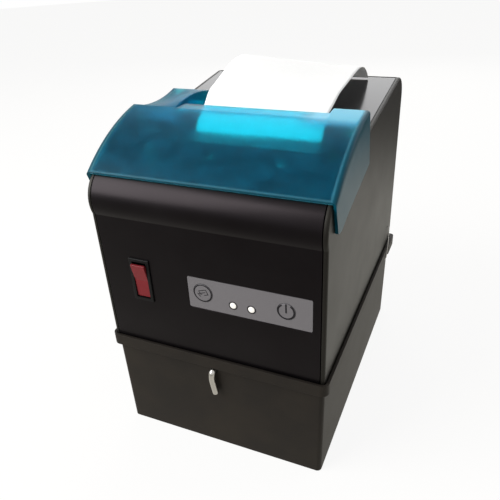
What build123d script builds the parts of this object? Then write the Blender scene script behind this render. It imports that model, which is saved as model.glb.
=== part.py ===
from build123d import *
import math
import os

os.makedirs("parts", exist_ok=True)

# A receipt printer on its base box. Millimetres, +Z up, -Y is the front, +X is the right hand side
# seen from the front. The origin is the centre of the underside, on the surface it stands on.

# Casing
body_width = 145.0
body_depth = 194.0
wall = 2.5
fit_gap = 0.3
panel_gap = 0.6
edge_round = 1.0
body_round = 1.5
front_y = -body_depth / 2
back_y = body_depth / 2

# Base box. The heights of the printer that stands in it are counted from its top edge.
base_height = 68.0
base_draft = 1.0
base_inset = 0.5
base_wall = 2.5
base_floor = 3.0
base_corner = 3.0
rim_height = 8.0
rim_gap = 0.5
rim_wall = 1.8
rim_pocket = 5.5
rim_step = 0.9
rim_step_length = 24.0
ledge_thickness = 5.0
ledge_reach = 5.5
pad_radius = 8.0
pad_thickness = 1.2
pad_inset = 13.0

# Top outline of the casing
lid_slope = 0.118
lid_middle_z = base_height + 133.75
back_round = 17.0
shoulder_y = front_y + 70.0

# Front cover, its pivot and the nose that it rolls over
cover_pivot_y = front_y + 17.5
cover_pivot_z = base_height + 103.5
nose_radius = 19.0
nose_gap = 0.4
cover_front_y = front_y + 4.8
cover_front_z = base_height + 120.5
cover_back_y = front_y + 71.5
cover_back_z = base_height + 147.8
cover_rise = 5.5
cover_wall = 2.3
skirt_wall = 1.7
skirt_tip_y = front_y + 10.9
skirt_tip_z = base_height + 101.0
skirt_low_y = front_y + 17.8
skirt_low_z = base_height + 99.9
skirt_back_y = front_y + 78.0
skirt_back_z = base_height + 114.8
notch_crease_y = front_y + 58.0
notch_back_y = front_y + 68.8
notch_z = base_height + 145.7
left_end_y = front_y + 59.0
cover_pin_radius = 2.5
running_gap = 0.05

# Paper lid and its hinge
lid_front_y = front_y + 73.8
lid_thickness = 2.5
lid_hinge_y = back_y - back_round - 1.0
lid_barrel_radius = 3.2
lid_pin_radius = 1.5
lid_notch_back_y = front_y + 113.5
lid_rib_depth = 6.0

# Release lever
lever_width = 29.5
lever_outer_x = -body_width / 2 - 2.0
lever_inner_x = lever_outer_x + lever_width
lever_front_y = front_y + 59.8
lever_back_y = front_y + 110.0
lever_under_z = lid_middle_z + 2.75
lever_pivot_y = lever_back_y - 7.0
lever_pivot_z = lever_under_z - 7.0
lever_pin_radius = 1.5
lever_ear = 2.0

# Paper
paper_width = 79.5
paper_centre_x = 11.25
sheet = 0.3
roll_radius = 39.7
core_radius = 8.5
core_bore = 6.0
roll_y = 30.0
roll_z = base_height + 86.5
cradle_gap = 0.3
cheek = 2.0
cheek_gap = 1.5
notch_left = lever_inner_x + 3.5
notch_right = paper_centre_x + paper_width / 2 + 1.5

# Print mechanism
platen_y = front_y + 61.0
platen_z = base_height + 120.5
platen_radius = 7.0
platen_shaft_radius = 3.0
frame_gap = 4.5
frame_sheet = 1.2
frame_front_y = platen_y - 34.0
frame_back_y = platen_y + 12.0
frame_top_z = platen_z + 9.6
gear_module = 0.8
gear_width = 5.0
platen_teeth = 20
idler_teeth = 32
pinion_teeth = 14
cutter_teeth = 12
tooth_play = 0.16
motor_radius = 15.0
motor_length = 15.0
motor_tilt = 30.0
blade_thickness = 0.8
blade_travel = 5.0

# Front controls
label_left = body_width / 2 - 84.1
label_right = body_width / 2 - 7.7
label_low = base_height + 43.8
label_high = base_height + 64.9
label_thickness = 0.5
label_recess = 0.6
feed_x = label_left + 9.6
feed_z = label_low + 11.3
feed_radius = 6.0
power_x = label_right - 15.2
power_z = label_low + 10.5
power_radius = 5.2
key_gap = 0.3
key_proud = 0.3
key_travel = 0.6
light_radius = 2.0
light_places = [(label_left + 28.7, label_low + 6.7), (label_left + 40.2, label_low + 6.6)]
rocker_x = -body_width / 2 + 28.5
rocker_z = base_height + 55.5
rocker_width = 9.4
rocker_height = 23.6
rocker_tilt = 7.2

# Latch on the base front
latch_x = -0.1
latch_z = base_height - 3.2
rod_radius = 2.15
rod_reach = 3.0
latch_arm = 8.0

# Screws
screw_radius = 1.5
screw_head_radius = 2.8
screw_head = 1.8
screw_clearance = 0.2

# Values worked out from the sizes above
body_half_x = body_width / 2
body_half_y = body_depth / 2
inner_half_x = body_half_x - wall
inner_front_y = front_y + wall
inner_back_y = back_y - wall
rim_top = base_height + rim_height
seat_z = rim_top - rim_pocket
ledge_bottom = seat_z - ledge_thickness
base_half_y = body_half_y - base_inset
base_top_half = body_half_x - base_inset
base_bottom_half = base_top_half - base_draft
rim_half_x = body_half_x + rim_gap + rim_wall
rim_half_y = body_half_y + rim_gap + rim_wall
ledge_half_x = base_top_half - base_wall - ledge_reach
ledge_half_y = base_half_y - base_wall - ledge_reach
tray_top = seat_z + 2.0
back_centre_y = back_y - back_round
paper_left = paper_centre_x - paper_width / 2
paper_right = paper_centre_x + paper_width / 2
plate_left = paper_left - frame_gap
plate_right = paper_right + frame_gap


def front_plane(y):
    """Plane at y that faces the front: sketch x is X, sketch y is Z, a positive extrude goes forward."""
    return Plane.XZ.offset(-y)


def side_plane(x):
    """Plane at x that faces the right: sketch x is Y, sketch y is Z."""
    return Plane.YZ.offset(x)


def lid_top(y):
    """Height of the straight top line of the lid and the side walls."""
    return lid_middle_z + lid_slope * y


def around(centre_y, centre_z, radius, degrees):
    """Point of a circle in the side view, counted from the back towards the top."""
    angle = math.radians(degrees)
    return (centre_y + radius * math.cos(angle), centre_z + radius * math.sin(angle))


back_centre_z = lid_top(back_centre_y) - back_round
lid_hinge_z = lid_top(lid_hinge_y) - lid_barrel_radius
nose_low = 180 + math.degrees(math.acos((cover_pivot_y - front_y) / nose_radius))
nose_high = 104.0

# The cover's arc: its centre from the chord between its front and back edges and its rise.
chord_y = cover_back_y - cover_front_y
chord_z = cover_back_z - cover_front_z
chord = math.hypot(chord_y, chord_z)
cover_radius = (chord * chord / 4 + cover_rise * cover_rise) / (2 * cover_rise)
drop = cover_radius - cover_rise
cover_centre_y = (cover_front_y + cover_back_y) / 2 + drop * chord_z / chord
cover_centre_z = (cover_front_z + cover_back_z) / 2 - drop * chord_y / chord


def cover_z(y, inset=0.0):
    """Height of the cover's outer arc at y, or of the arc that lies inset below it."""
    return cover_centre_z + math.sqrt((cover_radius - inset) ** 2 - (y - cover_centre_y) ** 2)


def cover_arc(start_y, end_y, inset=0.0):
    """Three points of the cover's arc between two places along Y."""
    middle = (start_y + end_y) / 2
    return [(y, cover_z(y, inset)) for y in (start_y, middle, end_y)]


def gear_outline(teeth, phase, module=gear_module):
    """Closed outline of a gear: involute flanks from the base circle to the tip, thinned by the play."""
    pressure = math.radians(20)
    pitch = module * teeth / 2
    base = pitch * math.cos(pressure)
    tip = pitch + 0.9 * module
    root = min(base, pitch - 1.15 * module)
    half = math.pi / (2 * teeth) - tooth_play / (2 * pitch)
    flank = [(root, half + math.tan(pressure) - pressure)]
    for share in (0.0, 0.35, 0.7, 1.0):
        radius = base + share * (tip - base)
        slope = math.acos(min(1.0, base / radius))
        flank.append((radius, half + math.tan(pressure) - pressure - (math.tan(slope) - slope)))
    if abs(root - base) < 0.01:
        flank.pop(0)
    points = []
    for tooth in range(teeth):
        centre = math.radians(phase) + 2 * math.pi * tooth / teeth
        for radius, angle in flank:
            points.append((radius * math.cos(centre - angle), radius * math.sin(centre - angle)))
        for radius, angle in reversed(flank):
            points.append((radius * math.cos(centre + angle), radius * math.sin(centre + angle)))
    return points


def mate_phase(direction, phase, teeth, mate_teeth):
    """Phase that puts a gear in mesh with one of the given phase, seen in the given direction."""
    return direction + 180 + (direction - phase) * teeth / mate_teeth + 180 / mate_teeth


# Base box
port_low = 14.0
port_high = 50.0
port_half_x = 50.0
board_half_x = 59.0
board_half_y = 70.0
board_hole_x = 54.0
board_hole_y = 65.0
standoff_height = 7.0
standoff_radius = 3.5
board_z = base_floor + standoff_height
board_thickness = 1.6
bush_radius = 3.0
base_screw_x = ledge_half_x + ledge_reach / 2
base_screw_y = 60.0
latch_notch = 13.0
seal_low = (back_y - 27.4, base_height - 3.5)
seal_high = (back_y - 12.0, seat_z + 20.0)
seal_hole = 1.0

with BuildPart() as base_box:
    with BuildSketch(front_plane(-base_half_y)):
        with BuildLine():
            Polyline(
                (-base_bottom_half, 0),
                (base_bottom_half, 0),
                (base_top_half, base_height),
                (-base_top_half, base_height),
                close=True,
            )
        make_face()
    extrude(amount=-2 * base_half_y)
    slanted = [e for e in base_box.edges() if abs(e.tangent_at(0.5).Z) > 0.9]
    fillet(slanted, base_corner)
    with BuildSketch(Plane.XY.offset(base_height)):
        RectangleRounded(2 * rim_half_x, 2 * rim_half_y, base_corner + rim_wall)
    extrude(amount=rim_height)
    with BuildSketch(Plane.XY.offset(base_height)):
        with Locations((0, rim_half_y + rim_step - rim_step_length / 2)):
            RectangleRounded(2 * (rim_half_x + rim_step), rim_step_length, base_corner)
    extrude(amount=rim_height)
    with BuildSketch(front_plane(-base_half_y + base_wall)):
        with BuildLine():
            low = base_bottom_half + base_draft * base_floor / base_height - base_wall
            high = base_bottom_half + base_draft * ledge_bottom / base_height - base_wall
            Polyline(
                (-low, base_floor),
                (low, base_floor),
                (high, ledge_bottom),
                (-high, ledge_bottom),
                close=True,
            )
        make_face()
    extrude(amount=-2 * (base_half_y - base_wall), mode=Mode.SUBTRACT)
    with BuildSketch(Plane.XY.offset(ledge_bottom)):
        Rectangle(2 * ledge_half_x, 2 * ledge_half_y)
        with Locations((latch_x + 2, -ledge_half_y)):
            Rectangle(2 * latch_notch, 2 * ledge_reach)
    extrude(amount=rim_top - ledge_bottom, mode=Mode.SUBTRACT)
    with BuildSketch(Plane.XY.offset(seat_z)):
        RectangleRounded(2 * (body_half_x + rim_gap), 2 * (body_half_y + rim_gap), body_round + rim_gap)
    extrude(amount=rim_pocket, mode=Mode.SUBTRACT)
    with BuildSketch(Plane.XY):
        with GridLocations(2 * (base_bottom_half - pad_inset), 2 * (base_half_y - pad_inset), 2, 2):
            Circle(pad_radius)
    extrude(amount=pad_thickness, mode=Mode.SUBTRACT)
    with BuildSketch(Plane.XY.offset(base_floor)):
        with GridLocations(2 * board_hole_x, 2 * board_hole_y, 2, 2):
            Circle(standoff_radius)
    extrude(amount=standoff_height)
    with BuildSketch(Plane.XY.offset(base_floor + 1)):
        with GridLocations(2 * board_hole_x, 2 * board_hole_y, 2, 2):
            Circle(screw_radius)
    extrude(amount=standoff_height, mode=Mode.SUBTRACT)
    with BuildSketch(Plane.XY.offset(ledge_bottom)):
        with GridLocations(2 * base_screw_x, 2 * base_screw_y, 2, 2):
            Circle(screw_radius)
    extrude(amount=ledge_thickness, mode=Mode.SUBTRACT)
    with BuildSketch(front_plane(base_half_y)):
        with Locations((0, (port_low + port_high) / 2)):
            Rectangle(2 * port_half_x, port_high - port_low)
    extrude(amount=base_wall, mode=Mode.SUBTRACT)
    with BuildSketch(front_plane(-base_half_y)):
        with Locations((latch_x, latch_z)):
            Circle(bush_radius)
    extrude(amount=-base_wall, mode=Mode.SUBTRACT)
    with BuildSketch(side_plane(base_top_half)):
        with Locations(seal_low):
            Circle(seal_hole)
    extrude(amount=-base_wall - 1, mode=Mode.SUBTRACT)
base_box.part.label = "base_box"
export_step(base_box.part, "parts/base_box.step")

with BuildPart() as rubber_feet:
    with BuildSketch(Plane.XY):
        with GridLocations(2 * (base_bottom_half - pad_inset), 2 * (base_half_y - pad_inset), 2, 2):
            Circle(pad_radius)
    extrude(amount=pad_thickness)
rubber_feet.part.label = "rubber_feet"
export_step(rubber_feet.part, "parts/rubber_feet.step")

# Sockets at the back of the base
plate_thickness = 1.2
plate_border = 4.0
plate_back_y = base_half_y - base_wall
plate_front_y = plate_back_y - plate_thickness
port_z = 31.0
power_port_x = -36.0
serial_port_x = -9.0
usb_port_x = 18.0
drawer_port_x = 38.0
inlet_radius = 8.0
serial_size = (18.0, 9.5)
usb_size = (12.0, 11.0)
drawer_size = (15.0, 14.0)
port_gap = 0.3
port_proud = 2.0
flange = 1.5
flange_border = 3.0
port_depth = 12.0

with BuildPart() as port_panel:
    with BuildSketch(front_plane(plate_back_y)):
        with Locations((0, (port_low + port_high) / 2)):
            Rectangle(2 * (port_half_x + plate_border), port_high - port_low + 2 * plate_border)
        with Locations((power_port_x, port_z)):
            Circle(inlet_radius + port_gap, mode=Mode.SUBTRACT)
        for x, size in ((serial_port_x, serial_size), (usb_port_x, usb_size), (drawer_port_x, drawer_size)):
            with Locations((x, port_z)):
                Rectangle(size[0] + 2 * port_gap, size[1] + 2 * port_gap, mode=Mode.SUBTRACT)
    extrude(amount=plate_thickness)
port_panel.part.label = "port_panel"
export_step(port_panel.part, "parts/port_panel.step")

with BuildPart() as power_inlet:
    with BuildSketch(front_plane(plate_back_y + port_proud)):
        with Locations((power_port_x, port_z)):
            Circle(inlet_radius)
    extrude(amount=port_proud + plate_thickness + port_depth)
    with BuildSketch(front_plane(plate_front_y)):
        with Locations((power_port_x, port_z)):
            Rectangle(2 * (inlet_radius + flange_border), 2 * (inlet_radius + flange_border))
    extrude(amount=flange)
    with BuildSketch(front_plane(plate_back_y + port_proud)):
        with Locations((power_port_x, port_z)):
            Circle(inlet_radius - 1.5)
            with PolarLocations(3.8, 3):
                Circle(0.6, mode=Mode.SUBTRACT)
    extrude(amount=9, mode=Mode.SUBTRACT)
power_inlet.part.label = "power_inlet"
export_step(power_inlet.part, "parts/power_inlet.step")

with BuildPart() as serial_port:
    with BuildSketch(front_plane(plate_back_y + port_proud)):
        with Locations((serial_port_x, port_z)):
            RectangleRounded(serial_size[0], serial_size[1], 2.5)
    extrude(amount=port_proud + plate_thickness + port_depth)
    with BuildSketch(front_plane(plate_front_y)):
        with Locations((serial_port_x, port_z)):
            Rectangle(serial_size[0] + 4 * flange_border, serial_size[1] + flange_border)
    extrude(amount=flange)
    with BuildSketch(front_plane(plate_back_y + port_proud)):
        with Locations((serial_port_x, port_z)):
            RectangleRounded(serial_size[0] - 1.6, serial_size[1] - 1.6, 1.8)
        with Locations((serial_port_x, port_z + 1.4)):
            with GridLocations(2.7, 1, 5, 1):
                Circle(0.5, mode=Mode.SUBTRACT)
        with Locations((serial_port_x, port_z - 1.4)):
            with GridLocations(2.7, 1, 4, 1):
                Circle(0.5, mode=Mode.SUBTRACT)
    extrude(amount=6, mode=Mode.SUBTRACT)
serial_port.part.label = "serial_port"
export_step(serial_port.part, "parts/serial_port.step")

with BuildPart() as usb_port:
    with BuildSketch(front_plane(plate_back_y + port_proud)):
        with Locations((usb_port_x, port_z)):
            Rectangle(usb_size[0], usb_size[1])
    extrude(amount=port_proud + plate_thickness + port_depth)
    with BuildSketch(front_plane(plate_front_y)):
        with Locations((usb_port_x, port_z)):
            Rectangle(usb_size[0] + flange_border, usb_size[1] + flange_border)
    extrude(amount=flange)
    with BuildSketch(front_plane(plate_back_y + port_proud)):
        with Locations((usb_port_x, port_z)):
            Rectangle(usb_size[0] - 3.6, usb_size[1] - 3.4)
            Rectangle(5.6, 3.2, mode=Mode.SUBTRACT)
    extrude(amount=9, mode=Mode.SUBTRACT)
usb_port.part.label = "usb_port"
export_step(usb_port.part, "parts/usb_port.step")

with BuildPart() as drawer_port:
    with BuildSketch(front_plane(plate_back_y + port_proud)):
        with Locations((drawer_port_x, port_z)):
            Rectangle(drawer_size[0], drawer_size[1])
    extrude(amount=port_proud + plate_thickness + port_depth)
    with BuildSketch(front_plane(plate_front_y)):
        with Locations((drawer_port_x, port_z)):
            Rectangle(drawer_size[0] + flange_border, drawer_size[1] + flange_border)
    extrude(amount=flange)
    with BuildSketch(front_plane(plate_back_y + port_proud)):
        with Locations((drawer_port_x, port_z)):
            Rectangle(drawer_size[0] - 5, drawer_size[1] - 6)
        with Locations((drawer_port_x, port_z - drawer_size[1] / 2 + 2.5)):
            Rectangle(4, 3)
    extrude(amount=10, mode=Mode.SUBTRACT)
drawer_port.part.label = "drawer_port"
export_step(drawer_port.part, "parts/drawer_port.step")

# Board of the fiscal module
with BuildPart() as fiscal_board:
    with BuildSketch(Plane.XY.offset(board_z)):
        Rectangle(2 * board_half_x, 2 * board_half_y)
        with GridLocations(2 * board_hole_x, 2 * board_hole_y, 2, 2):
            Circle(screw_radius + screw_clearance, mode=Mode.SUBTRACT)
    extrude(amount=board_thickness)
fiscal_board.part.label = "fiscal_board"
export_step(fiscal_board.part, "parts/fiscal_board.step")

memory_size = (46.0, 36.0, 14.0)
with BuildPart() as fiscal_memory_block:
    with BuildSketch(Plane.XY.offset(board_z + board_thickness)):
        with Locations((-22, 12)):
            RectangleRounded(memory_size[0], memory_size[1], 3)
    extrude(amount=memory_size[2])
    chamfer(fiscal_memory_block.faces().sort_by(Axis.Z)[-1].edges(), 1)
fiscal_memory_block.part.label = "fiscal_memory_block"
export_step(fiscal_memory_block.part, "parts/fiscal_memory_block.step")

with BuildPart() as backup_battery:
    with BuildSketch(Plane.XY.offset(board_z + board_thickness)):
        with Locations((30, -26)):
            Circle(11.5)
    extrude(amount=6)
    fillet(backup_battery.faces().sort_by(Axis.Z)[-1].edges(), 0.8)
backup_battery.part.label = "backup_battery"
export_step(backup_battery.part, "parts/backup_battery.step")

with BuildPart() as board_screws:
    with BuildSketch(Plane.XY.offset(base_floor + 1.5)):
        with GridLocations(2 * board_hole_x, 2 * board_hole_y, 2, 2):
            Circle(screw_radius)
    extrude(amount=board_z + board_thickness - base_floor - 1.5)
    with BuildSketch(Plane.XY.offset(board_z + board_thickness)):
        with GridLocations(2 * board_hole_x, 2 * board_hole_y, 2, 2):
            Circle(screw_head_radius)
    extrude(amount=screw_head)
board_screws.part.label = "board_screws"
export_step(board_screws.part, "parts/board_screws.step")

with BuildPart() as base_screws:
    with BuildSketch(Plane.XY.offset(ledge_bottom + 0.5)):
        with GridLocations(2 * base_screw_x, 2 * base_screw_y, 2, 2):
            Circle(screw_radius)
    extrude(amount=tray_top - ledge_bottom - 0.5)
    with BuildSketch(Plane.XY.offset(tray_top)):
        with GridLocations(2 * base_screw_x, 2 * base_screw_y, 2, 2):
            Circle(screw_head_radius)
    extrude(amount=screw_head)
base_screws.part.label = "base_screws"
export_step(base_screws.part, "parts/base_screws.step")

# Latch: a bent rod in a bush, with an arm behind the wall that holds the keeper of the tray down.
bush_flange = 1.0
latch_wall_y = -base_half_y
bush_back_y = latch_wall_y + base_wall + bush_flange
arm_thickness = 2.5
arm_front_y = bush_back_y + 0.1
arm_back_y = arm_front_y + arm_thickness
rod_front_y = latch_wall_y - rod_reach
rod_bend_z = latch_z - 5.9
rod_end_z = latch_z - 17.6
rod_end_x = latch_x + 1.5

with BuildPart() as latch_bush:
    with BuildSketch(front_plane(latch_wall_y)):
        with Locations((latch_x, latch_z)):
            Circle(bush_radius)
    extrude(amount=-base_wall)
    with BuildSketch(front_plane(latch_wall_y + base_wall)):
        with Locations((latch_x, latch_z)):
            Circle(bush_radius + 0.8)
    extrude(amount=-bush_flange)
    with BuildSketch(front_plane(latch_wall_y)):
        with Locations((latch_x, latch_z)):
            Circle(rod_radius + running_gap)
    extrude(amount=-base_wall - bush_flange, mode=Mode.SUBTRACT)
latch_bush.part.label = "latch_bush"
export_step(latch_bush.part, "parts/latch_bush.step")

with BuildPart() as latch_lever:
    with BuildLine() as rod_path:
        FilletPolyline(
            (latch_x, arm_back_y, latch_z),
            (latch_x, rod_front_y, latch_z),
            (latch_x - 0.6, rod_front_y, rod_bend_z),
            (rod_end_x, rod_front_y, rod_end_z),
            radius=2.6,
        )
    with BuildSketch(front_plane(arm_back_y)):
        with Locations((latch_x, latch_z)):
            Circle(rod_radius)
    sweep()
    fillet(latch_lever.edges().sort_by(Axis.Z)[0], 1.2)
latch_lever.part.label = "latch_lever"
export_step(latch_lever.part, "parts/latch_lever.step")

with BuildPart() as latch_cam:
    with BuildSketch(front_plane(arm_front_y)):
        with Locations((latch_x, latch_z)):
            Circle(rod_radius + 1.5)
        with Locations((latch_x + latch_arm / 2, latch_z)):
            Rectangle(latch_arm, 3.4)
        with Locations((latch_x, latch_z)):
            Circle(rod_radius, mode=Mode.SUBTRACT)
    extrude(amount=-arm_thickness)
latch_cam.part.label = "latch_cam"
export_step(latch_cam.part, "parts/latch_cam.step")

# Tray of the printer with the keeper that hangs in the base
keeper_x = latch_x + latch_arm + 1.5
keeper_foot_top = latch_z - 1.7 - fit_gap
keeper_foot = 2.5
back_tab_x = 50.0
back_screw_z = tray_top + 8.0
back_tab_top = back_screw_z + 6.0
frame_left_x = plate_left - frame_sheet
frame_right_x = plate_right + frame_sheet

with BuildPart() as chassis_tray:
    with BuildSketch(Plane.XY.offset(seat_z)):
        Rectangle(2 * (inner_half_x - fit_gap), 2 * (inner_back_y - fit_gap))
        with GridLocations(2 * base_screw_x, 2 * base_screw_y, 2, 2):
            Circle(screw_radius + screw_clearance, mode=Mode.SUBTRACT)
        with Locations((latch_x + 2.3, -(inner_back_y - fit_gap))):
            Rectangle(latch_arm + 5, 2 * (arm_thickness + 2), mode=Mode.SUBTRACT)
    extrude(amount=tray_top - seat_z)
    with BuildSketch(front_plane(arm_front_y)):
        with BuildLine():
            Polyline(
                (latch_x + 4, keeper_foot_top),
                (keeper_x, keeper_foot_top),
                (keeper_x, seat_z),
                (keeper_x + keeper_foot, seat_z),
                (keeper_x + keeper_foot, keeper_foot_top - keeper_foot),
                (latch_x + 4, keeper_foot_top - keeper_foot),
                close=True,
            )
        make_face()
    extrude(amount=-arm_thickness)
    with BuildSketch(front_plane(inner_back_y - fit_gap)):
        for tab_x in (-back_tab_x, back_tab_x):
            with Locations((tab_x, (tray_top + back_tab_top) / 2)):
                Rectangle(12, back_tab_top - tray_top)
        with Locations((-back_tab_x, back_screw_z), (back_tab_x, back_screw_z)):
            Circle(screw_radius, mode=Mode.SUBTRACT)
    extrude(amount=2)
chassis_tray.part.label = "chassis_tray"
export_step(chassis_tray.part, "parts/chassis_tray.step")

# Casing: side walls and back in one moulding
lid_seam_y = lid_hinge_y + lid_barrel_radius + 0.4
lever_wall_top = lever_under_z - 1.5
lever_wall_low = lever_pivot_z - 8.0
open_top = lid_middle_z + 33.0

with BuildPart() as upper_case:
    with BuildSketch(side_plane(-body_half_x)):
        with BuildLine():
            nose_start = around(cover_pivot_y, cover_pivot_z, nose_radius, nose_low)
            nose_middle = around(cover_pivot_y, cover_pivot_z, nose_radius, (nose_low + nose_high) / 2)
            nose_end = around(cover_pivot_y, cover_pivot_z, nose_radius, nose_high)
            Line((front_y, seat_z), nose_start)
            ThreePointArc(nose_start, nose_middle, nose_end)
            Line(nose_end, (shoulder_y, lid_top(shoulder_y)))
            Line((shoulder_y, lid_top(shoulder_y)), (back_centre_y, lid_top(back_centre_y)))
            ThreePointArc(
                (back_centre_y, lid_top(back_centre_y)),
                around(back_centre_y, back_centre_z, back_round, 45),
                (back_y, back_centre_z),
            )
            Line((back_y, back_centre_z), (back_y, seat_z))
            Line((back_y, seat_z), (front_y, seat_z))
        make_face()
    extrude(amount=body_width)
    outline = upper_case.faces().filter_by(Axis.X).edges()
    fillet([e for e in outline if e.center().Z > seat_z + 1], body_round)
    with BuildSketch(side_plane(-inner_half_x)):
        with BuildLine():
            inner_round = back_round - wall
            seam_angle = math.degrees(math.acos((lid_seam_y - back_centre_y) / inner_round))
            seam_point = around(back_centre_y, back_centre_z, inner_round, seam_angle)
            Line((front_y - 5, seat_z - 1), (front_y - 5, open_top))
            Line((front_y - 5, open_top), (lid_seam_y, open_top))
            Line((lid_seam_y, open_top), seam_point)
            ThreePointArc(
                seam_point,
                around(back_centre_y, back_centre_z, inner_round, seam_angle / 2),
                (inner_back_y, back_centre_z),
            )
            Line((inner_back_y, back_centre_z), (inner_back_y, seat_z - 1))
            Line((inner_back_y, seat_z - 1), (front_y - 5, seat_z - 1))
        make_face()
    extrude(amount=2 * inner_half_x, mode=Mode.SUBTRACT)
    with BuildSketch(side_plane(-body_half_x)):
        with BuildLine():
            Polyline(
                (lever_front_y + 1.2, lever_wall_low),
                (lever_back_y - 2, lever_wall_low),
                (lever_back_y - 2, lever_wall_top),
                (lever_front_y + 1.2, lever_wall_top),
                close=True,
            )
        make_face()
    extrude(amount=wall)
    with BuildSketch(side_plane(-body_half_x)):
        with Locations((cover_pivot_y, cover_pivot_z)):
            Circle(cover_pin_radius + running_gap)
    extrude(amount=body_width, mode=Mode.SUBTRACT)
    with BuildSketch(side_plane(-inner_half_x - 1.5)):
        with Locations((lid_hinge_y, lid_hinge_z)):
            Circle(lid_pin_radius)
    extrude(amount=2 * inner_half_x + 3, mode=Mode.SUBTRACT)
    with BuildSketch(side_plane(-inner_half_x - 1.5)):
        with Locations((lever_pivot_y, lever_pivot_z)):
            Circle(lever_pin_radius)
    extrude(amount=1.5, mode=Mode.SUBTRACT)
    with BuildSketch(front_plane(back_y)):
        with Locations((-back_tab_x, back_screw_z), (back_tab_x, back_screw_z)):
            Circle(screw_radius + screw_clearance)
    extrude(amount=wall, mode=Mode.SUBTRACT)
    with BuildSketch(side_plane(body_half_x)):
        with Locations(seal_high):
            Circle(seal_hole)
    extrude(amount=-wall, mode=Mode.SUBTRACT)
upper_case.part.label = "upper_case"
export_step(upper_case.part, "parts/upper_case.step")

with BuildPart() as case_screws:
    with BuildSketch(front_plane(back_y)):
        with Locations((-back_tab_x, back_screw_z), (back_tab_x, back_screw_z)):
            Circle(screw_radius)
    extrude(amount=wall + fit_gap + 3)
    with BuildSketch(front_plane(back_y + screw_head)):
        with Locations((-back_tab_x, back_screw_z), (back_tab_x, back_screw_z)):
            Circle(screw_head_radius)
    extrude(amount=screw_head)
case_screws.part.label = "case_screws"
export_step(case_screws.part, "parts/case_screws.step")

# A thin wire sealed through two holes at the right hand rear
wire_radius = 0.3
with BuildPart() as seal_wire:
    wire_out = rim_half_x + wire_radius + 0.3
    with BuildLine() as wire_path:
        FilletPolyline(
            (inner_half_x + 0.6, seal_high[0], seal_high[1]),
            (body_half_x + 0.9, seal_high[0], seal_high[1]),
            (wire_out, back_y - 23.0, rim_top + 0.5),
            (wire_out, back_y - 25.5, base_height + 0.5),
            (base_top_half + 0.9, seal_low[0], seal_low[1]),
            (base_top_half - 2.2, seal_low[0], seal_low[1]),
            radius=0.8,
        )
    with BuildSketch(side_plane(inner_half_x + 0.6)):
        with Locations(seal_high):
            Circle(wire_radius)
    sweep()
seal_wire.part.label = "seal_wire"
export_step(seal_wire.part, "parts/seal_wire.step")

# Front panel with the rounded nose
panel_half_x = inner_half_x - panel_gap
boss_radius = 2.5
panel_board_y = inner_front_y + 7.0
boss_left = label_left + 1.1
boss_right = label_right - 2.3
boss_high = label_high + 2.1
boss_low = label_low - 1.3
boss_places = [(boss_left, boss_high), (boss_right, boss_high), (boss_left, boss_low), (boss_right, boss_low)]
window_height = rocker_height + 3.4
window_width = rocker_width + 2.1

with BuildPart() as front_panel:
    with BuildSketch(side_plane(-panel_half_x)):
        with BuildLine():
            inner_nose = nose_radius - wall
            inner_low = 180 + math.degrees(math.acos((cover_pivot_y - inner_front_y) / inner_nose))
            outer_start = around(cover_pivot_y, cover_pivot_z, nose_radius, nose_low)
            outer_end = around(cover_pivot_y, cover_pivot_z, nose_radius, nose_high)
            inner_start = around(cover_pivot_y, cover_pivot_z, inner_nose, nose_high)
            inner_end = around(cover_pivot_y, cover_pivot_z, inner_nose, inner_low)
            Line((front_y, seat_z), outer_start)
            ThreePointArc(
                outer_start,
                around(cover_pivot_y, cover_pivot_z, nose_radius, (nose_low + nose_high) / 2),
                outer_end,
            )
            Line(outer_end, inner_start)
            ThreePointArc(
                inner_start,
                around(cover_pivot_y, cover_pivot_z, inner_nose, (inner_low + nose_high) / 2),
                inner_end,
            )
            Line(inner_end, (inner_front_y, seat_z))
            Line((inner_front_y, seat_z), (front_y, seat_z))
        make_face()
    extrude(amount=2 * panel_half_x)
    with BuildSketch(front_plane(front_y)):
        with Locations(((label_left + label_right) / 2, (label_low + label_high) / 2)):
            RectangleRounded(label_right - label_left + 0.6, label_high - label_low + 0.6, 1.2)
    extrude(amount=-label_recess, mode=Mode.SUBTRACT)
    with BuildSketch(front_plane(front_y)):
        with Locations((feed_x, feed_z)):
            Circle(feed_radius + key_gap)
        with Locations((power_x, power_z)):
            Circle(power_radius + key_gap)
        with Locations(*light_places):
            Circle(light_radius + 0.1)
        with Locations((rocker_x, rocker_z)):
            Rectangle(window_width, window_height)
    extrude(amount=-wall, mode=Mode.SUBTRACT)
    with BuildSketch(front_plane(inner_front_y)):
        with Locations(*boss_places):
            Circle(boss_radius)
    extrude(amount=inner_front_y - panel_board_y)
front_panel.part.label = "front_panel"
export_step(front_panel.part, "parts/front_panel.step")

with BuildPart() as panel_label:
    with BuildSketch(front_plane(front_y + label_recess - label_thickness)):
        with Locations(((label_left + label_right) / 2, (label_low + label_high) / 2)):
            RectangleRounded(label_right - label_left, label_high - label_low, 1)
        with Locations((feed_x, feed_z)):
            Circle(feed_radius + key_gap, mode=Mode.SUBTRACT)
        with Locations((power_x, power_z)):
            Circle(power_radius + key_gap, mode=Mode.SUBTRACT)
        with Locations(*light_places):
            Circle(light_radius + 0.1, mode=Mode.SUBTRACT)
    extrude(amount=-label_thickness)
panel_label.part.label = "panel_label"
export_step(panel_label.part, "parts/panel_label.step")

key_flange = 1.2
key_front_y = front_y + label_recess - label_thickness - key_proud
key_flange_y = inner_front_y + 0.1

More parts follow.
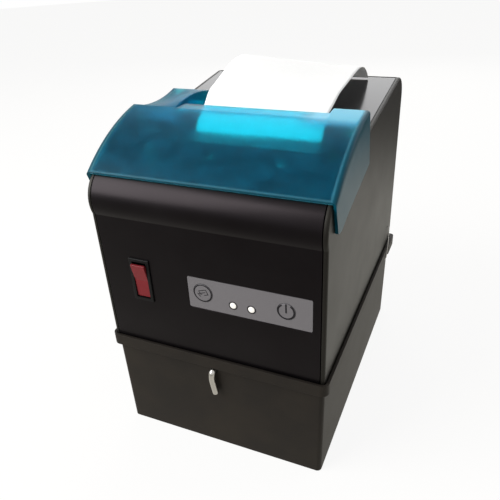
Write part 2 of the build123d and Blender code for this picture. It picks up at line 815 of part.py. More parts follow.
with BuildPart() as feed_button:
    with BuildSketch(front_plane(key_front_y)):
        with Locations((feed_x, feed_z)):
            Circle(feed_radius)
    extrude(amount=key_front_y - key_flange_y)
    fillet(feed_button.faces().sort_by(Axis.Y)[0].edges(), 0.3)
    with BuildSketch(front_plane(key_flange_y)):
        with Locations((feed_x, feed_z)):
            Circle(feed_radius + 1.3)
    extrude(amount=-key_flange)
feed_button.part.label = "feed_button"
export_step(feed_button.part, "parts/feed_button.step")

with BuildPart() as power_button:
    with BuildSketch(front_plane(key_front_y)):
        with Locations((power_x, power_z)):
            Circle(power_radius)
    extrude(amount=key_front_y - key_flange_y)
    fillet(power_button.faces().sort_by(Axis.Y)[0].edges(), 0.3)
    with BuildSketch(front_plane(key_flange_y)):
        with Locations((power_x, power_z)):
            Circle(power_radius + 1.3)
    extrude(amount=-key_flange)
power_button.part.label = "power_button"
export_step(power_button.part, "parts/power_button.step")

with BuildPart() as status_lights:
    with BuildSketch(front_plane(front_y + label_recess - label_thickness)):
        with Locations(*light_places):
            Circle(light_radius)
    extrude(amount=-(panel_board_y - front_y - label_recess + label_thickness))
status_lights.part.label = "status_lights"
export_step(status_lights.part, "parts/status_lights.step")

switch_body = 3.5
plunger_y = key_flange_y + key_flange + key_travel + 0.1
with BuildPart() as tact_switches:
    with BuildSketch(front_plane(panel_board_y)):
        with Locations((feed_x, feed_z), (power_x, power_z)):
            Rectangle(6, 6)
    extrude(amount=switch_body)
    with BuildSketch(front_plane(panel_board_y - switch_body)):
        with Locations((feed_x, feed_z), (power_x, power_z)):
            Circle(1.75)
    extrude(amount=panel_board_y - switch_body - plunger_y)
tact_switches.part.label = "tact_switches"
export_step(tact_switches.part, "parts/tact_switches.step")

with BuildPart() as panel_board:
    with BuildSketch(front_plane(panel_board_y)):
        with Locations(((boss_left + boss_right) / 2, (boss_low + boss_high) / 2)):
            Rectangle(boss_right - boss_left + 7, boss_high - boss_low + 6.5)
    extrude(amount=-board_thickness)
panel_board.part.label = "panel_board"
export_step(panel_board.part, "parts/panel_board.step")

# Mains switch
bezel = 1.0
bezel_border = 1.2
switch_depth = 16.0
cavity_depth = 8.5
rocker_pivot_y = front_y + 1.5
pin_in_wall = 0.45

with BuildPart() as switch_housing:
    with BuildSketch(front_plane(front_y)):
        with Locations((rocker_x, rocker_z)):
            Rectangle(window_width + 2 * bezel_border, window_height + 2 * bezel_border)
    extrude(amount=bezel)
    fillet(switch_housing.faces().sort_by(Axis.Y)[0].edges(), 0.4)
    with BuildSketch(front_plane(front_y)):
        with Locations((rocker_x, rocker_z)):
            Rectangle(window_width - 0.2, window_height - 0.2)
    extrude(amount=-switch_depth)
    with BuildSketch(front_plane(front_y - bezel)):
        with Locations((rocker_x, rocker_z)):
            Rectangle(rocker_width + 0.4, rocker_height + 1.8)
    extrude(amount=-cavity_depth, mode=Mode.SUBTRACT)
    with BuildSketch(side_plane(rocker_x - rocker_width / 2 - 0.2 - pin_in_wall)):
        with Locations((rocker_pivot_y, rocker_z)):
            Circle(1.2 + running_gap)
    extrude(amount=rocker_width + 0.4 + 2 * pin_in_wall, mode=Mode.SUBTRACT)
switch_housing.part.label = "switch_housing"
export_step(switch_housing.part, "parts/switch_housing.step")


def rocker_point(out, up):
    """A point of the rocker's side view, tilted to its rest place."""
    angle = math.radians(rocker_tilt)
    return (
        rocker_pivot_y + out * math.cos(angle) - up * math.sin(angle),
        rocker_z + out * math.sin(angle) + up * math.cos(angle),
    )


with BuildPart() as power_rocker:
    with BuildSketch(side_plane(rocker_x - rocker_width / 2)):
        with BuildLine():
            half = rocker_height / 2
            Polyline(
                rocker_point(-2.0, 0),
                rocker_point(-3.1, half),
                rocker_point(-1.4, half),
                rocker_point(1.2, 3),
                rocker_point(2.6, 0),
                rocker_point(1.2, -3),
                rocker_point(-1.4, -half),
                rocker_point(-3.1, -half),
                close=True,
            )
        make_face()
    extrude(amount=rocker_width)
    fillet(power_rocker.edges().filter_by(Axis.X).sort_by(Axis.Y)[0:2], 0.5)
    with BuildSketch(side_plane(rocker_x - rocker_width / 2 - 0.2 - pin_in_wall)):
        with Locations((rocker_pivot_y, rocker_z)):
            Circle(1.2)
    extrude(amount=rocker_width + 0.4 + 2 * pin_in_wall)
power_rocker.part.label = "power_rocker"
export_step(power_rocker.part, "parts/power_rocker.step")

# Blue front cover: an arched shell with side skirts and pivot pins
cover_half_x = body_half_x + fit_gap + skirt_wall
skirt_inner_x = body_half_x + fit_gap
under_cover_z = cover_pivot_z - 17.0

with BuildPart() as front_cover:
    with BuildSketch(side_plane(-cover_half_x)):
        with BuildLine():
            Line((skirt_tip_y, skirt_tip_z), (cover_front_y, cover_front_z))
            ThreePointArc(*cover_arc(cover_front_y, cover_back_y))
            Line((cover_back_y, cover_back_z), (skirt_back_y, skirt_back_z))
            Line((skirt_back_y, skirt_back_z), (skirt_low_y, skirt_low_z))
            Line((skirt_low_y, skirt_low_z), (skirt_tip_y, skirt_tip_z))
        make_face()
    extrude(amount=2 * cover_half_x)
    fillet(front_cover.edges().filter_by(Axis.X).group_by(Axis.Z)[0], 1.5)
    outer_sides = front_cover.faces().filter_by(Axis.X).edges().filter_by(GeomType.CIRCLE)
    fillet([e for e in outer_sides if e.radius > 50], edge_round)
    with BuildSketch(side_plane(-skirt_inner_x)):
        with BuildLine():
            inner_arc = cover_arc(cover_front_y - 3, skirt_back_y + 6, cover_wall)
            ThreePointArc(*inner_arc)
            Line(inner_arc[2], (skirt_back_y + 6, under_cover_z))
            Line((skirt_back_y + 6, under_cover_z), (cover_front_y - 3, under_cover_z))
            Line((cover_front_y - 3, under_cover_z), inner_arc[0])
        make_face()
    extrude(amount=2 * skirt_inner_x, mode=Mode.SUBTRACT)
    with BuildSketch(side_plane(-skirt_inner_x)):
        with Locations((cover_pivot_y, cover_pivot_z)):
            Circle(nose_radius + nose_gap)
    extrude(amount=2 * skirt_inner_x, mode=Mode.SUBTRACT)
    with BuildSketch(Plane.XY.offset(under_cover_z)):
        with BuildLine():
            Polyline(
                (-cover_half_x - 1, left_end_y),
                (notch_left, left_end_y),
                (notch_left, notch_crease_y),
                (notch_right, notch_crease_y),
                (notch_right, skirt_back_y + 6),
                (-cover_half_x - 1, skirt_back_y + 6),
                close=True,
            )
        make_face()
    extrude(amount=80, mode=Mode.SUBTRACT)
    with BuildSketch(Plane.XY.offset(notch_z - cover_wall)):
        with BuildLine():
            Polyline(
                (notch_left, notch_crease_y - 1),
                (notch_right, notch_crease_y - 1),
                (notch_right, notch_back_y),
                (notch_left, notch_back_y),
                close=True,
            )
        make_face()
    extrude(amount=cover_wall)
    for side in (-1, 1):
        with BuildSketch(side_plane(side * skirt_inner_x)):
            with Locations((cover_pivot_y, cover_pivot_z)):
                Circle(cover_pin_radius)
        extrude(amount=-side * (fit_gap + wall - 0.3))
front_cover.part.label = "front_cover"
export_step(front_cover.part, "parts/front_cover.step")

# Black lid over the paper roll
lid_half_x = inner_half_x - fit_gap
lid_left_front = lever_inner_x + 0.8

with BuildPart() as paper_lid:
    with BuildSketch(side_plane(-lid_half_x)):
        with BuildLine():
            Polyline(
                (lid_front_y, lid_top(lid_front_y)),
                (lid_hinge_y, lid_top(lid_hinge_y)),
                (lid_hinge_y, lid_top(lid_hinge_y) - lid_thickness),
                (lid_front_y, lid_top(lid_front_y) - lid_thickness),
                close=True,
            )
        make_face()
        with Locations((lid_hinge_y, lid_hinge_z)):
            Circle(lid_barrel_radius)
    extrude(amount=2 * lid_half_x)
    with BuildSketch(side_plane(-lid_half_x)):
        with BuildLine():
            Polyline(
                (lid_front_y + 2, lid_top(lid_front_y + 2) - 1),
                (lid_hinge_y - 8, lid_top(lid_hinge_y - 8) - 1),
                (lid_hinge_y - 8, lid_top(lid_hinge_y - 8) - lid_rib_depth),
                (lid_front_y + 2, lid_top(lid_front_y + 2) - lid_rib_depth),
                close=True,
            )
        make_face()
    extrude(amount=2 * lid_half_x)
    with BuildSketch(side_plane(-lid_half_x + 2)):
        with BuildLine():
            Polyline(
                (lid_front_y - 1, lid_top(lid_front_y - 1) - lid_thickness),
                (lid_hinge_y - 6, lid_top(lid_hinge_y - 6) - lid_thickness),
                (lid_hinge_y - 6, lid_top(lid_hinge_y - 6) - lid_rib_depth - 1),
                (lid_front_y - 1, lid_top(lid_front_y - 1) - lid_rib_depth - 1),
                close=True,
            )
        make_face()
    extrude(amount=2 * (lid_half_x - 2), mode=Mode.SUBTRACT)
    with BuildSketch(Plane.XY.offset(under_cover_z)):
        with BuildLine():
            Polyline(
                (-lid_half_x - 1, lid_front_y - 1),
                (lid_left_front, lid_front_y - 1),
                (lid_left_front, lid_notch_back_y),
                (-lid_half_x - 1, lid_notch_back_y),
                close=True,
            )
        make_face()
    extrude(amount=80, mode=Mode.SUBTRACT)
    with BuildSketch(side_plane(-lid_half_x)):
        with Locations((lid_hinge_y, lid_hinge_z)):
            Circle(lid_pin_radius + running_gap)
    extrude(amount=2 * lid_half_x, mode=Mode.SUBTRACT)
paper_lid.part.label = "paper_lid"
export_step(paper_lid.part, "parts/paper_lid.step")

with BuildPart() as lid_hinge_pin:
    with BuildSketch(side_plane(-inner_half_x - 1.5)):
        with Locations((lid_hinge_y, lid_hinge_z)):
            Circle(lid_pin_radius)
    extrude(amount=2 * inner_half_x + 3)
lid_hinge_pin.part.label = "lid_hinge_pin"
export_step(lid_hinge_pin.part, "parts/lid_hinge_pin.step")

# Blue thumb lever beside the paper
ear_radius = 3.2
ear_outer_x = -inner_half_x + 0.5
lever_dip_y = lever_front_y + 21.2
lever_hump_y = lever_front_y + 25.2
lever_lip_z = lever_under_z - 4.0

with BuildPart() as release_lever:
    with BuildSketch(side_plane(lever_outer_x)):
        with BuildLine():
            Line((lever_front_y, lever_under_z), (lever_front_y, lever_under_z + 8.6))
            ThreePointArc(
                (lever_front_y, lever_under_z + 8.6),
                (lever_dip_y, lever_under_z + 4.9),
                (lever_back_y, lever_under_z + 8.2),
            )
            Line((lever_back_y, lever_under_z + 8.2), (lever_back_y, lever_under_z))
            Line((lever_back_y, lever_under_z), (lever_front_y, lever_under_z))
        make_face()
    with BuildSketch(side_plane(lever_inner_x)):
        with BuildLine():
            Line((lever_front_y, lever_under_z), (lever_front_y, lever_under_z + 7.4))
            ThreePointArc(
                (lever_front_y, lever_under_z + 7.4),
                (lever_hump_y, lever_under_z + 11.2),
                (lever_back_y, lever_under_z + 7.8),
            )
            Line((lever_back_y, lever_under_z + 7.8), (lever_back_y, lever_under_z))
            Line((lever_back_y, lever_under_z), (lever_front_y, lever_under_z))
        make_face()
    loft(ruled=True)
    with BuildSketch(Plane.XY.offset(lever_under_z)):
        with Locations(((lever_outer_x + lever_inner_x) / 2, (lever_front_y + lever_back_y) / 2)):
            Rectangle(lever_inner_x - lever_outer_x - 4, lever_back_y - lever_front_y - 4)
    extrude(amount=2.6, mode=Mode.SUBTRACT)
    for ear_x in (ear_outer_x, lever_inner_x - lever_ear):
        with BuildSketch(side_plane(ear_x)):
            with BuildLine():
                Polyline(
                    (lever_pivot_y - ear_radius, lever_pivot_z),
                    (lever_pivot_y + ear_radius, lever_pivot_z),
                    (lever_pivot_y + ear_radius, lever_under_z + 3),
                    (lever_pivot_y - ear_radius, lever_under_z + 3),
                    close=True,
                )
            make_face()
            with Locations((lever_pivot_y, lever_pivot_z)):
                Circle(ear_radius)
        extrude(amount=lever_ear)
    with BuildSketch(side_plane(lever_inner_x - lever_ear)):
        with BuildLine():
            Polyline(
                (lever_front_y, lever_lip_z),
                (lever_back_y, lever_lip_z),
                (lever_back_y, lever_under_z + 1),
                (lever_front_y, lever_under_z + 1),
                close=True,
            )
        make_face()
    extrude(amount=lever_ear)
    with BuildSketch(side_plane(ear_outer_x)):
        with Locations((lever_pivot_y, lever_pivot_z)):
            Circle(lever_pin_radius + running_gap)
    extrude(amount=lever_inner_x - ear_outer_x, mode=Mode.SUBTRACT)
release_lever.part.label = "release_lever"
export_step(release_lever.part, "parts/release_lever.step")

with BuildPart() as lever_pin:
    with BuildSketch(side_plane(-inner_half_x - 1.5)):
        with Locations((lever_pivot_y, lever_pivot_z)):
            Circle(lever_pin_radius)
    extrude(amount=lever_inner_x + inner_half_x + 1.5 + 0.4)
lever_pin.part.label = "lever_pin"
export_step(lever_pin.part, "parts/lever_pin.step")


def spring_wire(x, y, z, radius, wire, length, turns, direction):
    """A coil spring as a round wire along a helix that starts at the given point."""
    helix = Helix(length / turns, length, radius, center=(x, y, z), direction=direction)
    start = Plane(origin=helix @ 0, z_dir=helix % 0)
    return sweep(start * Circle(wire), path=helix)


lever_coil_start = ear_outer_x + lever_ear + 0.8
lever_coil_length = lever_inner_x - lever_ear - 0.8 - lever_coil_start
lever_coil_radius = lever_pin_radius + 0.75
lever_coil = spring_wire(
    lever_coil_start, lever_pivot_y, lever_pivot_z, lever_coil_radius, 0.4, lever_coil_length, 6, (1, 0, 0)
)
with BuildPart() as lever_spring:
    add(lever_coil)
lever_spring.part.label = "lever_spring"
export_step(lever_spring.part, "parts/lever_spring.step")

# Sheet steel frame of the print mechanism
cross_low = platen_z - 18.0
cross_high = platen_z + 6.0
idler_centre = gear_module * (platen_teeth + idler_teeth) / 2
idler_y = platen_y
idler_z = platen_z - idler_centre
pinion_direction = -90.0 - motor_tilt
pinion_centre = gear_module * (idler_teeth + pinion_teeth) / 2
pinion_y = idler_y + pinion_centre * math.cos(math.radians(pinion_direction))
pinion_z = idler_z + pinion_centre * math.sin(math.radians(pinion_direction))
bush_outer = 5.0
stud_radius = 1.5
pinion_shaft = 1.25

with BuildPart() as mech_frame:
    with BuildSketch(Plane.XY.offset(tray_top)):
        with BuildLine():
            Polyline(
                (frame_left_x, frame_front_y),
                (frame_right_x, frame_front_y),
                (frame_right_x, frame_back_y),
                (frame_left_x, frame_back_y),
                close=True,
            )
        make_face()
    extrude(amount=frame_top_z - tray_top)
    with BuildSketch(front_plane(frame_back_y + 1)):
        with BuildLine():
            Polyline(
                (plate_left, tray_top + frame_sheet),
                (plate_right, tray_top + frame_sheet),
                (plate_right, frame_top_z + 1),
                (plate_left, frame_top_z + 1),
                close=True,
            )
        make_face()
    extrude(amount=frame_back_y - frame_front_y + 1 - frame_sheet, mode=Mode.SUBTRACT)
    with BuildSketch(front_plane(frame_front_y)):
        with Locations(((plate_left + plate_right) / 2, (tray_top + cross_low) / 2)):
            Rectangle(plate_right - plate_left, cross_low - tray_top - 12)
        with Locations(((plate_left + plate_right) / 2, (cross_high + frame_top_z + 2) / 2)):
            Rectangle(plate_right - plate_left, frame_top_z + 2 - cross_high)
    extrude(amount=-frame_sheet, mode=Mode.SUBTRACT)
    with BuildSketch(side_plane(frame_left_x)):
        with Locations((platen_y, platen_z)):
            Circle(bush_outer)
    extrude(amount=frame_right_x - frame_left_x, mode=Mode.SUBTRACT)
    with BuildSketch(side_plane(frame_left_x)):
        with Locations((pinion_y, pinion_z)):
            Circle(pinion_shaft + running_gap)
    extrude(amount=frame_sheet, mode=Mode.SUBTRACT)
mech_frame.part.label = "mech_frame"
export_step(mech_frame.part, "parts/mech_frame.step")

# Platen with its shaft, bushes and gear
rubber_left = paper_left - 1.5
rubber_right = paper_right + 1.5
gear_right_x = frame_left_x - 4.5
gear_left_x = gear_right_x - gear_width
bush_overhang = 1.5

with BuildPart() as platen_shaft:
    with BuildSketch(side_plane(gear_left_x)):
        with Locations((platen_y, platen_z)):
            Circle(platen_shaft_radius)
    extrude(amount=frame_right_x + bush_overhang + 1 - gear_left_x)
platen_shaft.part.label = "platen_shaft"
export_step(platen_shaft.part, "parts/platen_shaft.step")

with BuildPart() as platen_rubber:
    with BuildSketch(side_plane(rubber_left)):
        with Locations((platen_y, platen_z)):
            Circle(platen_radius)
            Circle(platen_shaft_radius, mode=Mode.SUBTRACT)
    extrude(amount=rubber_right - rubber_left)
platen_rubber.part.label = "platen_rubber"
export_step(platen_rubber.part, "parts/platen_rubber.step")

with BuildPart() as platen_bushes:
    for start_x in (frame_left_x - bush_overhang, plate_right - bush_overhang):
        with BuildSketch(side_plane(start_x)):
            with Locations((platen_y, platen_z)):
                Circle(bush_outer)
                Circle(platen_shaft_radius + running_gap, mode=Mode.SUBTRACT)
        extrude(amount=frame_sheet + 2 * bush_overhang)
platen_bushes.part.label = "platen_bushes"
export_step(platen_bushes.part, "parts/platen_bushes.step")

platen_phase = -90.0 + 180.0 / platen_teeth
idler_phase = mate_phase(-90.0, platen_phase, platen_teeth, idler_teeth)
pinion_phase = mate_phase(pinion_direction, idler_phase, idler_teeth, pinion_teeth)

with BuildPart() as platen_gear:
    with BuildSketch(side_plane(gear_left_x)):
        with Locations((platen_y, platen_z)):
            Polygon(*gear_outline(platen_teeth, platen_phase), align=None)
            Circle(platen_shaft_radius, mode=Mode.SUBTRACT)
    extrude(amount=gear_width)
platen_gear.part.label = "platen_gear"
export_step(platen_gear.part, "parts/platen_gear.step")

with BuildPart() as idler_gear:
    with BuildSketch(side_plane(gear_left_x)):
        with Locations((idler_y, idler_z)):
            Polygon(*gear_outline(idler_teeth, idler_phase), align=None)
            Circle(stud_radius + running_gap, mode=Mode.SUBTRACT)
    extrude(amount=gear_width)
idler_gear.part.label = "idler_gear"
export_step(idler_gear.part, "parts/idler_gear.step")

with BuildPart() as idler_stud:
    with BuildSketch(side_plane(gear_left_x - 0.2)):
        with Locations((idler_y, idler_z)):
            Circle(stud_radius)
    extrude(amount=frame_left_x - gear_left_x + 0.2)
    with BuildSketch(side_plane(gear_right_x + 0.2)):
        with Locations((idler_y, idler_z)):
            Circle(stud_radius + 1.2)
    extrude(amount=frame_left_x - gear_right_x - 0.2)
    with BuildSketch(side_plane(gear_left_x - 0.2)):
        with Locations((idler_y, idler_z)):
            Circle(stud_radius + 1.2)
    extrude(amount=-1)
idler_stud.part.label = "idler_stud"
export_step(idler_stud.part, "parts/idler_stud.step")

shaft_in_motor = 5.0
with BuildPart() as feed_motor:
    with BuildSketch(side_plane(plate_left)):
        with Locations((pinion_y, pinion_z)):
            Circle(motor_radius)
            Circle(pinion_shaft + running_gap, mode=Mode.SUBTRACT)
    extrude(amount=motor_length)
    with BuildSketch(side_plane(plate_left + shaft_in_motor + 0.1)):
        with Locations((pinion_y, pinion_z)):
            Circle(pinion_shaft + 1)
    extrude(amount=motor_length - shaft_in_motor - 0.1)
feed_motor.part.label = "feed_motor"
export_step(feed_motor.part, "parts/feed_motor.step")

with BuildPart() as motor_pinion:
    with BuildSketch(side_plane(gear_left_x)):
        with Locations((pinion_y, pinion_z)):
            Polygon(*gear_outline(pinion_teeth, pinion_phase), align=None)
    extrude(amount=gear_width)
    with BuildSketch(side_plane(gear_right_x)):
        with Locations((pinion_y, pinion_z)):
            Circle(pinion_shaft)
    extrude(amount=plate_left + shaft_in_motor - gear_right_x)
motor_pinion.part.label = "motor_pinion"
export_step(motor_pinion.part, "parts/motor_pinion.step")

# Thermal head pressed towards the platen
head_gap = 2 * fit_gap + sheet
head_back_y = platen_y - platen_radius - head_gap
head_thickness = 1.2
sink_thickness = 6.0
sink_front_y = head_back_y - head_thickness - sink_thickness
head_spring_wire = 0.5

with BuildPart() as print_head:
    with BuildSketch(front_plane(head_back_y)):
        with Locations((paper_centre_x, platen_z)):
            Rectangle(paper_width + 4, 14)
    extrude(amount=head_thickness)
print_head.part.label = "print_head"
export_step(print_head.part, "parts/print_head.step")

with BuildPart() as head_heatsink:
    with BuildSketch(front_plane(head_back_y - head_thickness)):
        with Locations((paper_centre_x, platen_z - 1)):
            Rectangle(paper_width + 4, 18)
    extrude(amount=sink_thickness)
    with BuildSketch(front_plane(sink_front_y)):
        with Locations((paper_centre_x, platen_z - 8)):
            with GridLocations(6, 1, 13, 1):
                Rectangle(2.5, 5)
    extrude(amount=-3.5, mode=Mode.SUBTRACT)
head_heatsink.part.label = "head_heatsink"
export_step(head_heatsink.part, "parts/head_heatsink.step")

spring_space = sink_front_y - frame_front_y - frame_sheet
coils = [
    spring_wire(
        x,
        frame_front_y + frame_sheet + head_spring_wire + 0.1,
        platen_z - 1,
        3.2,
        head_spring_wire,
        spring_space - 2 * head_spring_wire - 0.2,
        6,
        (0, 1, 0),
    )
    for x in (paper_centre_x - 22, paper_centre_x + 22)
]
with BuildPart() as head_springs:
    for coil in coils:
        add(coil)
head_springs.part.label = "head_springs"
export_step(head_springs.part, "parts/head_springs.step")

# Cutter: a frame plate, a fixed blade behind the paper and a sliding blade with a rack
cutter_z = frame_top_z
cutter_front_y = platen_y - 26.0
cutter_back_y = platen_y - 8.0
fixed_front_y = platen_y - 4.2
fixed_back_y = platen_y + 5.0
blade_z = cutter_z + 1.0 + 0.2
blade_back_y = platen_y - 7.4
blade_front_y = platen_y - 22.0
blade_left = frame_left_x - 11.4
rack_x = blade_left - 1.8
cutter_left = rack_x - 14.6
rack_width = 2.4
rack_height = 2.6
rack_z = blade_z + blade_thickness
cutter_pitch = gear_module * cutter_teeth / 2
cutter_x = rack_x - cutter_pitch
cutter_y = platen_y - 16.0
motor_top = cutter_z
cutter_motor_radius = 7.0
cutter_motor_length = 20.0

with BuildPart() as cutter_frame:
    with BuildSketch(Plane.XY.offset(cutter_z)):
        with BuildLine():
            Polyline(
                (cutter_left, cutter_front_y),
                (frame_right_x, cutter_front_y),
                (frame_right_x, cutter_back_y),
                (cutter_left, cutter_back_y),
                close=True,
            )
        make_face()
        with Locations((cutter_x, cutter_y)):
            Circle(pinion_shaft + running_gap, mode=Mode.SUBTRACT)
    extrude(amount=1)
    with BuildSketch(Plane.XY.offset(cutter_z + 1)):
        with Locations(
            ((plate_right + frame_right_x) / 2, (cutter_front_y + cutter_back_y) / 2),
            (cutter_left + 1, (cutter_front_y + cutter_back_y) / 2),
        ):
            Rectangle(frame_sheet, cutter_back_y - cutter_front_y)
    extrude(amount=2)
cutter_frame.part.label = "cutter_frame"
export_step(cutter_frame.part, "parts/cutter_frame.step")

with BuildPart() as fixed_blade:
    with BuildSketch(Plane.XY.offset(cutter_z)):
        with BuildLine():
            Polyline(
                (frame_left_x, fixed_front_y),
                (frame_right_x, fixed_front_y),
                (frame_right_x, fixed_back_y),
                (frame_left_x, fixed_back_y),
                close=True,
            )
        make_face()
    extrude(amount=blade_thickness)
    chamfer(fixed_blade.edges().filter_by(Axis.X).group_by(Axis.Y)[0].sort_by(Axis.Z)[0], 0.5)
fixed_blade.part.label = "fixed_blade"
export_step(fixed_blade.part, "parts/fixed_blade.step")

tooth_pitch = math.pi * gear_module
with BuildPart() as moving_blade:
    with BuildSketch(Plane.XY.offset(blade_z)):
        with BuildLine():
            Polyline(
                (blade_left, blade_front_y),
                (paper_right + 2, blade_front_y),
                (paper_right + 2, blade_back_y),
                (paper_centre_x, blade_back_y - 1.6),
                (blade_left, blade_back_y),
                close=True,
            )
        make_face()
    extrude(amount=blade_thickness)
    with BuildSketch(Plane.XY.offset(rack_z)):
        with BuildLine():
            Polyline(
                (rack_x + 1.15 * gear_module, blade_front_y - 1.5),
                (rack_x + 1.15 * gear_module + rack_width, blade_front_y - 1.5),
                (rack_x + 1.15 * gear_module + rack_width, blade_back_y),
                (rack_x + 1.15 * gear_module, blade_back_y),
                close=True,
            )
        make_face()
    extrude(amount=rack_height)
    with BuildSketch(Plane.XY.offset(rack_z)):
        slope = math.tan(math.radians(20))
        tooth_half = tooth_pitch / 4 - tooth_play / 2
        outer_half = tooth_half - 0.9 * gear_module * slope
        inner_half = tooth_half + 1.15 * gear_module * slope
        for step in range(-2, 3):
            tooth_y = cutter_y + (step - 0.5) * tooth_pitch
            with BuildLine():
                Polyline(
                    (rack_x + 1.15 * gear_module + 0.2, tooth_y - inner_half),
                    (rack_x - 0.9 * gear_module, tooth_y - outer_half),
                    (rack_x - 0.9 * gear_module, tooth_y + outer_half),
                    (rack_x + 1.15 * gear_module + 0.2, tooth_y + inner_half),
                    close=True,
                )
            make_face()
    extrude(amount=rack_height)
moving_blade.part.label = "moving_blade"
export_step(moving_blade.part, "parts/moving_blade.step")

with BuildPart() as cutter_motor:
    with BuildSketch(Plane.XY.offset(motor_top)):
        with Locations((cutter_x, cutter_y)):
            Circle(cutter_motor_radius)
    extrude(amount=-cutter_motor_length)
    with BuildSketch(Plane.XY.offset(motor_top)):
        with Locations((cutter_x, cutter_y)):
            Circle(pinion_shaft + running_gap)
    extrude(amount=-6.1, mode=Mode.SUBTRACT)
cutter_motor.part.label = "cutter_motor"
export_step(cutter_motor.part, "parts/cutter_motor.step")

with BuildPart() as cutter_pinion:
    with BuildSketch(Plane.XY.offset(rack_z)):
        with Locations((cutter_x, cutter_y)):
            Polygon(*gear_outline(cutter_teeth, 0.0), align=None)
    extrude(amount=rack_height)
    with BuildSketch(Plane.XY.offset(motor_top - 6)):
        with Locations((cutter_x, cutter_y)):
            Circle(pinion_shaft)
    extrude(amount=rack_z - motor_top + 6)
cutter_pinion.part.label = "cutter_pinion"
export_step(cutter_pinion.part, "parts/cutter_pinion.step")

# Paper roll in its cradle
cheek_left = paper_left - cheek_gap
cheek_right = paper_right + cheek_gap
cradle_inner = roll_radius + cradle_gap
cradle_outer = cradle_inner + cheek
cheek_front_y = roll_y - 38.0
cheek_back_y = roll_y + 42.0
cheek_top_z = roll_z + 8.0
cheek_window_top = roll_z - 51.0
sensor_y = roll_y + 14
sensor_z = roll_z - 24
sensor_radius = 2.5

with BuildPart() as paper_bucket:
    with BuildSketch(side_plane(cheek_left)):
        with Locations((roll_y, roll_z)):
            Circle(cradle_outer)
            Circle(cradle_inner, mode=Mode.SUBTRACT)
        with BuildLine():
            far = 3 * cradle_outer
            Polyline(
                (roll_y, roll_z),
                around(roll_y, roll_z, far, 12),
                around(roll_y, roll_z, far, 90),
                around(roll_y, roll_z, far, 180),
                around(roll_y, roll_z, far, 228),
                close=True,
            )
        make_face(mode=Mode.SUBTRACT)
    extrude(amount=cheek_right - cheek_left)
    for cheek_x in (cheek_left - cheek, cheek_right):
        with BuildSketch(side_plane(cheek_x)):
            with BuildLine():
                Polyline(
                    (cheek_front_y, tray_top),
                    (cheek_back_y, tray_top),
                    (cheek_back_y, cheek_top_z),
                    (cheek_front_y, cheek_top_z),
                    close=True,
                )
            make_face()
            with Locations((roll_y, (tray_top + cheek_window_top + 6) / 2)):
                Rectangle(56, cheek_window_top - tray_top - 6, mode=Mode.SUBTRACT)
        extrude(amount=cheek)
    with BuildSketch(side_plane(cheek_left - cheek)):
        with Locations((sensor_y, sensor_z)):
            Circle(sensor_radius)
    extrude(amount=cheek, mode=Mode.SUBTRACT)
paper_bucket.part.label = "paper_bucket"
export_step(paper_bucket.part, "parts/paper_bucket.step")

with BuildPart() as paper_sensor:
    with BuildSketch(side_plane(cheek_left - cheek - 5)):
        with Locations((sensor_y, sensor_z)):
            Circle(sensor_radius)
    extrude(amount=cheek + 5)
    with BuildSketch(side_plane(cheek_left - cheek - 5)):
        with Locations((sensor_y, sensor_z)):
            Circle(sensor_radius + 1.5)
    extrude(amount=5)
paper_sensor.part.label = "paper_sensor"
export_step(paper_sensor.part, "parts/paper_sensor.step")

with BuildPart() as paper_roll:
    with BuildSketch(side_plane(paper_left)):
        with Locations((roll_y, roll_z)):
            Circle(roll_radius)
            Circle(core_radius, mode=Mode.SUBTRACT)
    extrude(amount=paper_width)
paper_roll.part.label = "paper_roll"
export_step(paper_roll.part, "parts/paper_roll.step")

with BuildPart() as paper_core:
    with BuildSketch(side_plane(paper_left)):
        with Locations((roll_y, roll_z)):
            Circle(core_radius)
            Circle(core_bore, mode=Mode.SUBTRACT)
    extrude(amount=paper_width)
paper_core.part.label = "paper_core"
export_step(paper_core.part, "parts/paper_core.step")

# The web leaves the roll, wraps round the front of the platen and rises to the exit slot.
web_roll = roll_radius + fit_gap + sheet / 2
web_platen = platen_radius + fit_gap + sheet / 2
run_y = platen_y - roll_y
run_z = platen_z - roll_z
run = math.hypot(run_y, run_z)
along = (web_roll - web_platen) / run
across = math.sqrt(1 - along * along)
normal_y = along * run_y / run - across * run_z / run
normal_z = along * run_z / run + across * run_y / run
web_angle = math.degrees(math.atan2(normal_z, normal_y))
exit_y = notch_back_y + fit_gap
web_top_z = notch_z - 1.2
bend_y = platen_y - 0.5
bend_z = frame_top_z + 7.9
exit_z = notch_z - 2.8
web_gap_low = cutter_z + blade_thickness
web_gap_high = blade_z + blade_thickness + 0.2


def web_outline(side):
    """Points of one face of the web: from the roll round the platen to the exit slot."""
    shift = side * sheet / 2
    wrap = [180.0 + (web_angle % 360 - 180.0) * share for share in (1.0, 0.5, 0.0)]
    points = [around(roll_y, roll_z, web_roll + shift, web_angle)]
    points += [around(platen_y, platen_z, web_platen + shift, a) for a in wrap]
    return points


